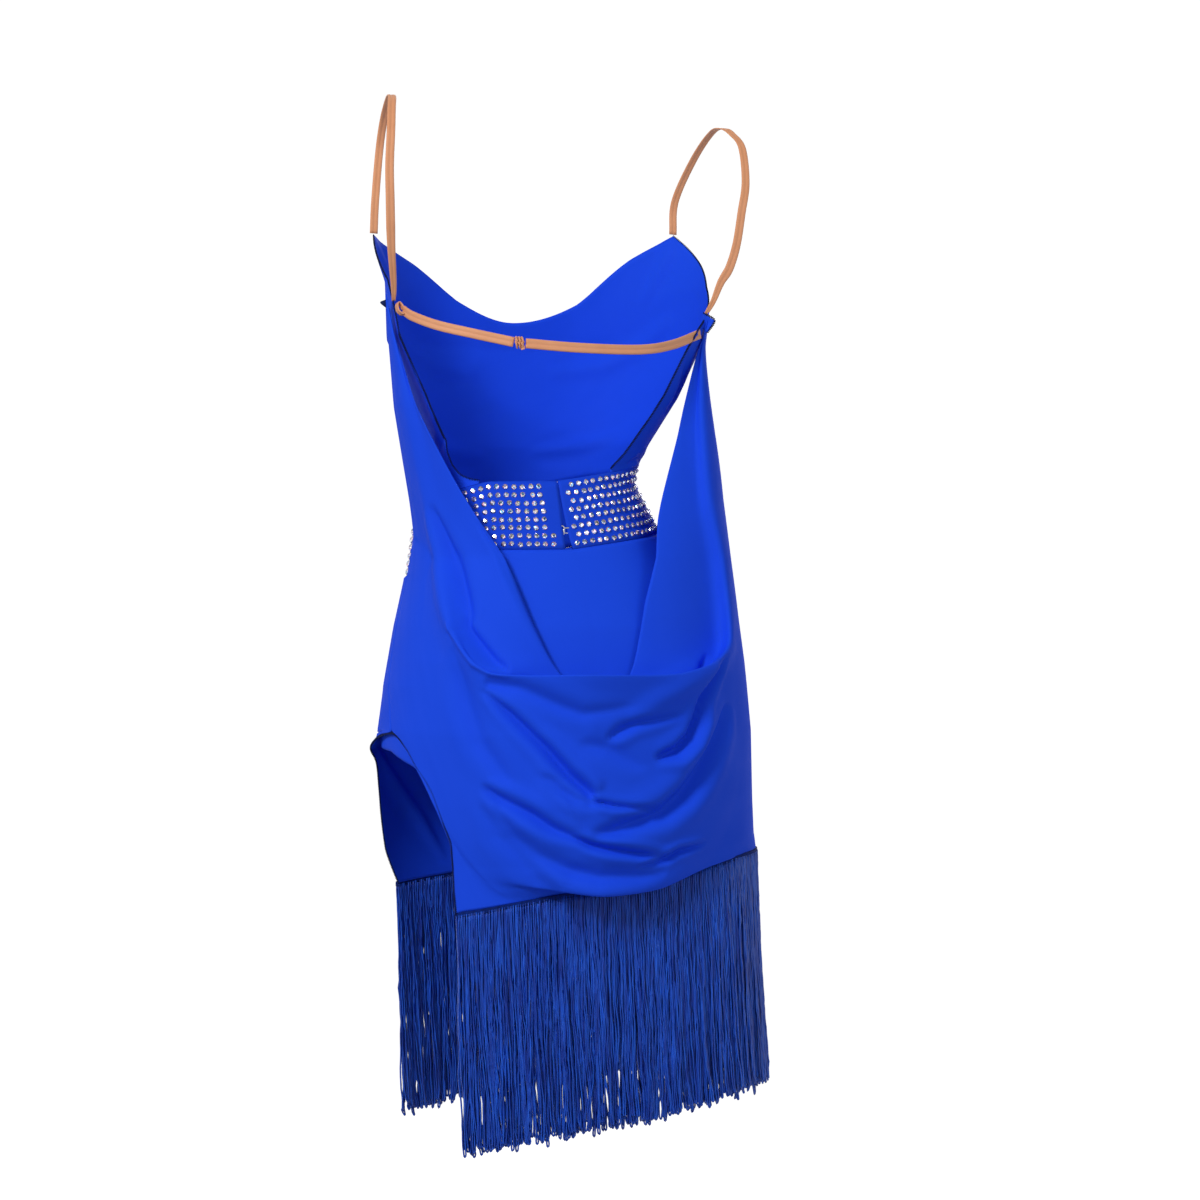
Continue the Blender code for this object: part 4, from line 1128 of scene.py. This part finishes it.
# ---------------------------------------------------------------- studio

def studio_material():
    made, tree, shader = finish_material("studio_paper")
    worn = noise(tree, object_place(tree), 1.5)
    fill(tree, shader, Base_Color=mix_colour(tree, worn, (0.93, 0.93, 0.93), (0.90, 0.90, 0.90)),
         Roughness=0.9, Emission_Color=(1.0, 1.0, 1.0), Emission_Strength=0.62)
    return made


def studio():
    """A round white room: a floor that curves up into its wall, open above."""
    profile = [(0.0, 0.0), (STUDIO_RADIUS - STUDIO_CORNER, 0.0)]
    for angle in np.linspace(0, math.pi / 2, 9)[1:]:
        profile.append((STUDIO_RADIUS - STUDIO_CORNER + STUDIO_CORNER * math.sin(angle),
                        STUDIO_CORNER * (1 - math.cos(angle))))
    profile.append((STUDIO_RADIUS, STUDIO_HEIGHT))
    around = 64
    points = [(r * math.cos(2 * math.pi * k / around), r * math.sin(2 * math.pi * k / around),
               FLOOR + z) for r, z in profile for k in range(around)]
    mesh = bpy.data.meshes.new("studio")
    mesh.from_pydata(points, [], [face[::-1] for face in grid_faces(len(profile), around, True)])
    mesh.shade_smooth()
    mesh.materials.append(studio_material())
    room = bpy.data.objects.new("studio", mesh)
    bpy.context.scene.collection.objects.link(room)
    room.visible_diffuse = False


def soft_light(name, turn, height, away, size, power):
    """A square lamp at a turn round the dress, aimed at its middle."""
    lamp = bpy.data.lights.new(name, "AREA")
    lamp.shape = "SQUARE"
    lamp.size = size
    lamp.energy = power
    made = bpy.data.objects.new(name, lamp)
    angle = math.radians(turn)
    made.location = (away * math.sin(angle), -away * math.cos(angle), height)
    aim = np.array([0.0, 0.0, DRESS_MIDDLE]) - np.array(made.location)
    made.rotation_euler = (math.acos(-aim[2] / np.linalg.norm(aim)), 0,
                           math.atan2(aim[1], aim[0]) - math.pi / 2)
    bpy.context.scene.collection.objects.link(made)


def lights():
    for lamp in LAMPS:
        soft_light(*lamp)
    world = bpy.data.worlds.new("studio_light")
    world.use_nodes = True
    sky = world.node_tree.nodes["Background"]
    sky.inputs[0].default_value = (1, 1, 1, 1)
    sky.inputs[1].default_value = SKY_STRENGTH
    bpy.context.scene.world = world
    bpy.context.scene.view_settings.view_transform = "Standard"


def camera():
    angle = math.radians(CAMERA_TURN)
    right = np.array([math.cos(angle), -math.sin(angle), 0])
    forward = np.array([math.sin(angle), math.cos(angle), 0])
    data = bpy.data.cameras.new("camera")
    data.sensor_width = 36
    data.lens = CAMERA_LENS
    made = bpy.data.objects.new("camera", data)
    made.location = right * CAMERA_AIM[0] + UP * CAMERA_AIM[1] - forward * CAMERA_AWAY
    made.rotation_euler = (math.pi / 2, 0, -angle)
    bpy.context.scene.collection.objects.link(made)
    bpy.context.scene.camera = made


# ---------------------------------------------------------------- the dress

knit = knit_grain_group()
twist = thread_twist_group()
JERSEY = cloth_finish("royal_jersey", knit, (0.012, 0.076, 0.82), (0.006, 0.046, 0.64), 0.65)
BAND = cloth_finish("band_cloth", knit, (0.010, 0.064, 0.72), (0.005, 0.038, 0.52), 0.6)
FRINGE, TAPE, NAVY_THREAD_AND_TAB_SHADE = (thread_finish(name, twist, *look) for name, *look in THREADS)
NUDE = elastic_finish("nude_elastic", (0.80, 0.37, 0.18), (0.62, 0.24, 0.10))
CRYSTAL = crystal_finish()
STEEL = steel_finish()

camera()
studio()
lights()

drape = cowl_drape(JERSEY)
bodice = front_bodice(JERSEY)
brief_cloth = brief(JERSEY)
crotch = gusset(JERSEY)
skirt = front_skirt(JERSEY)
band = waistband(BAND)
crystals = stones(CRYSTAL)

left = shoulder_elastic("left_shoulder_elastic", LEFT_STRAP, 360 - STRAP_TURN_LEFT,
                        360 - LEFT_CORNER_TURN, NUDE)
right = shoulder_elastic("right_shoulder_elastic", RIGHT_STRAP, STRAP_TURN_RIGHT,
                         RIGHT_CORNER_TURN, NUDE)
back_left = elastic("back_elastic_left", BACK_STRAP_LEFT, (0, 0, 1), NUDE)
back_right = elastic("back_elastic_right", BACK_STRAP_RIGHT, (0, 0, 1), NUDE)
wraps = strap_knot(NUDE)
hook = band_hook(STEEL)

back_hem = drape_grid(np.linspace(0, 1, HEM_POINTS), [1.0])[0]
right_end = float(column(RIGHT_SEAM, FRONT_HEM[0][1])) + FRINGE_STOP[0]
left_end = FRONT_HEM[-1][0] - FRINGE_STOP[1]
hem_turns = np.linspace(right_end, left_end, HEM_POINTS)
front_hem = skirt_skin(hem_turns, column(FRONT_HEM, hem_turns) * MM)
back_threads = hem_fringe("back_fringe", back_hem, BACK_TAPE_DROP, FRINGE, seed=11)
front_threads = hem_fringe("front_fringe", front_hem, FRONT_TAPE_DROP, FRINGE, seed=23)
fringe_tape("back_fringe_tape", back_hem, BACK_TAPE_DROP, TAPE)
fringe_tape("front_fringe_tape", front_hem, FRONT_TAPE_DROP, TAPE)

for made, node in (
        (drape, "cowl_drape"), (bodice, "front_bodice"), (brief_cloth, "brief"),
        (crotch, "gusset"), (skirt, "front_skirt"), (band, "waistband"),
        (left, "left_strap"), (right, "right_strap"), (back_left, "back_strap_left"),
        (back_right, "back_strap_right"), (wraps, "strap_knot"), (hook, "waistband_hook"),
        *((threads, "back_fringe") for threads in back_threads),
        *((threads, "front_fringe") for threads in front_threads)):
    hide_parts(node)

slit_thread = overlock("slit_overlock", slit_line(), NAVY_THREAD_AND_TAB_SHADE)
right_hem = np.concatenate([back_hem[HEM_ENDS[1]:], back_hem[-1] + np.array(THREAD_TAIL) * MM])
hem_ends = [overlock("left_hem_overlock", back_hem[:HEM_ENDS[0]], NAVY_THREAD_AND_TAB_SHADE),
            overlock("right_hem_overlock", right_hem, NAVY_THREAD_AND_TAB_SHADE)]
for name, first, last in (("right_edge_overlock", BODICE_RIGHT[0][0], STRAP_TURN_RIGHT),
                          ("left_edge_overlock", 360 - BODICE_LEFT[0][0], 360 - STRAP_TURN_LEFT)):
    turns = np.linspace(first, last, 160)
    overlock(name, oval(FIGURE, turns, bodice_upper(turns), LIE_OUT), NAVY_THREAD_AND_TAB_SHADE)
corner_tab("right_corner_tab", RIGHT_TAB, 2 * MM, JERSEY)
# The left tab is jersey; its dark navy thread finish is painted shade, for the shade it lies in at
# the corner.
corner_tab("left_corner_tab", LEFT_TAB, 1 * MM, NAVY_THREAD_AND_TAB_SHADE)
overlock("right_tab_overlock", smooth_line(np.array(RIGHT_TAB[:3]) * MM, 40), NAVY_THREAD_AND_TAB_SHADE)
corner_loop(CORNER_LOOP, NUDE)
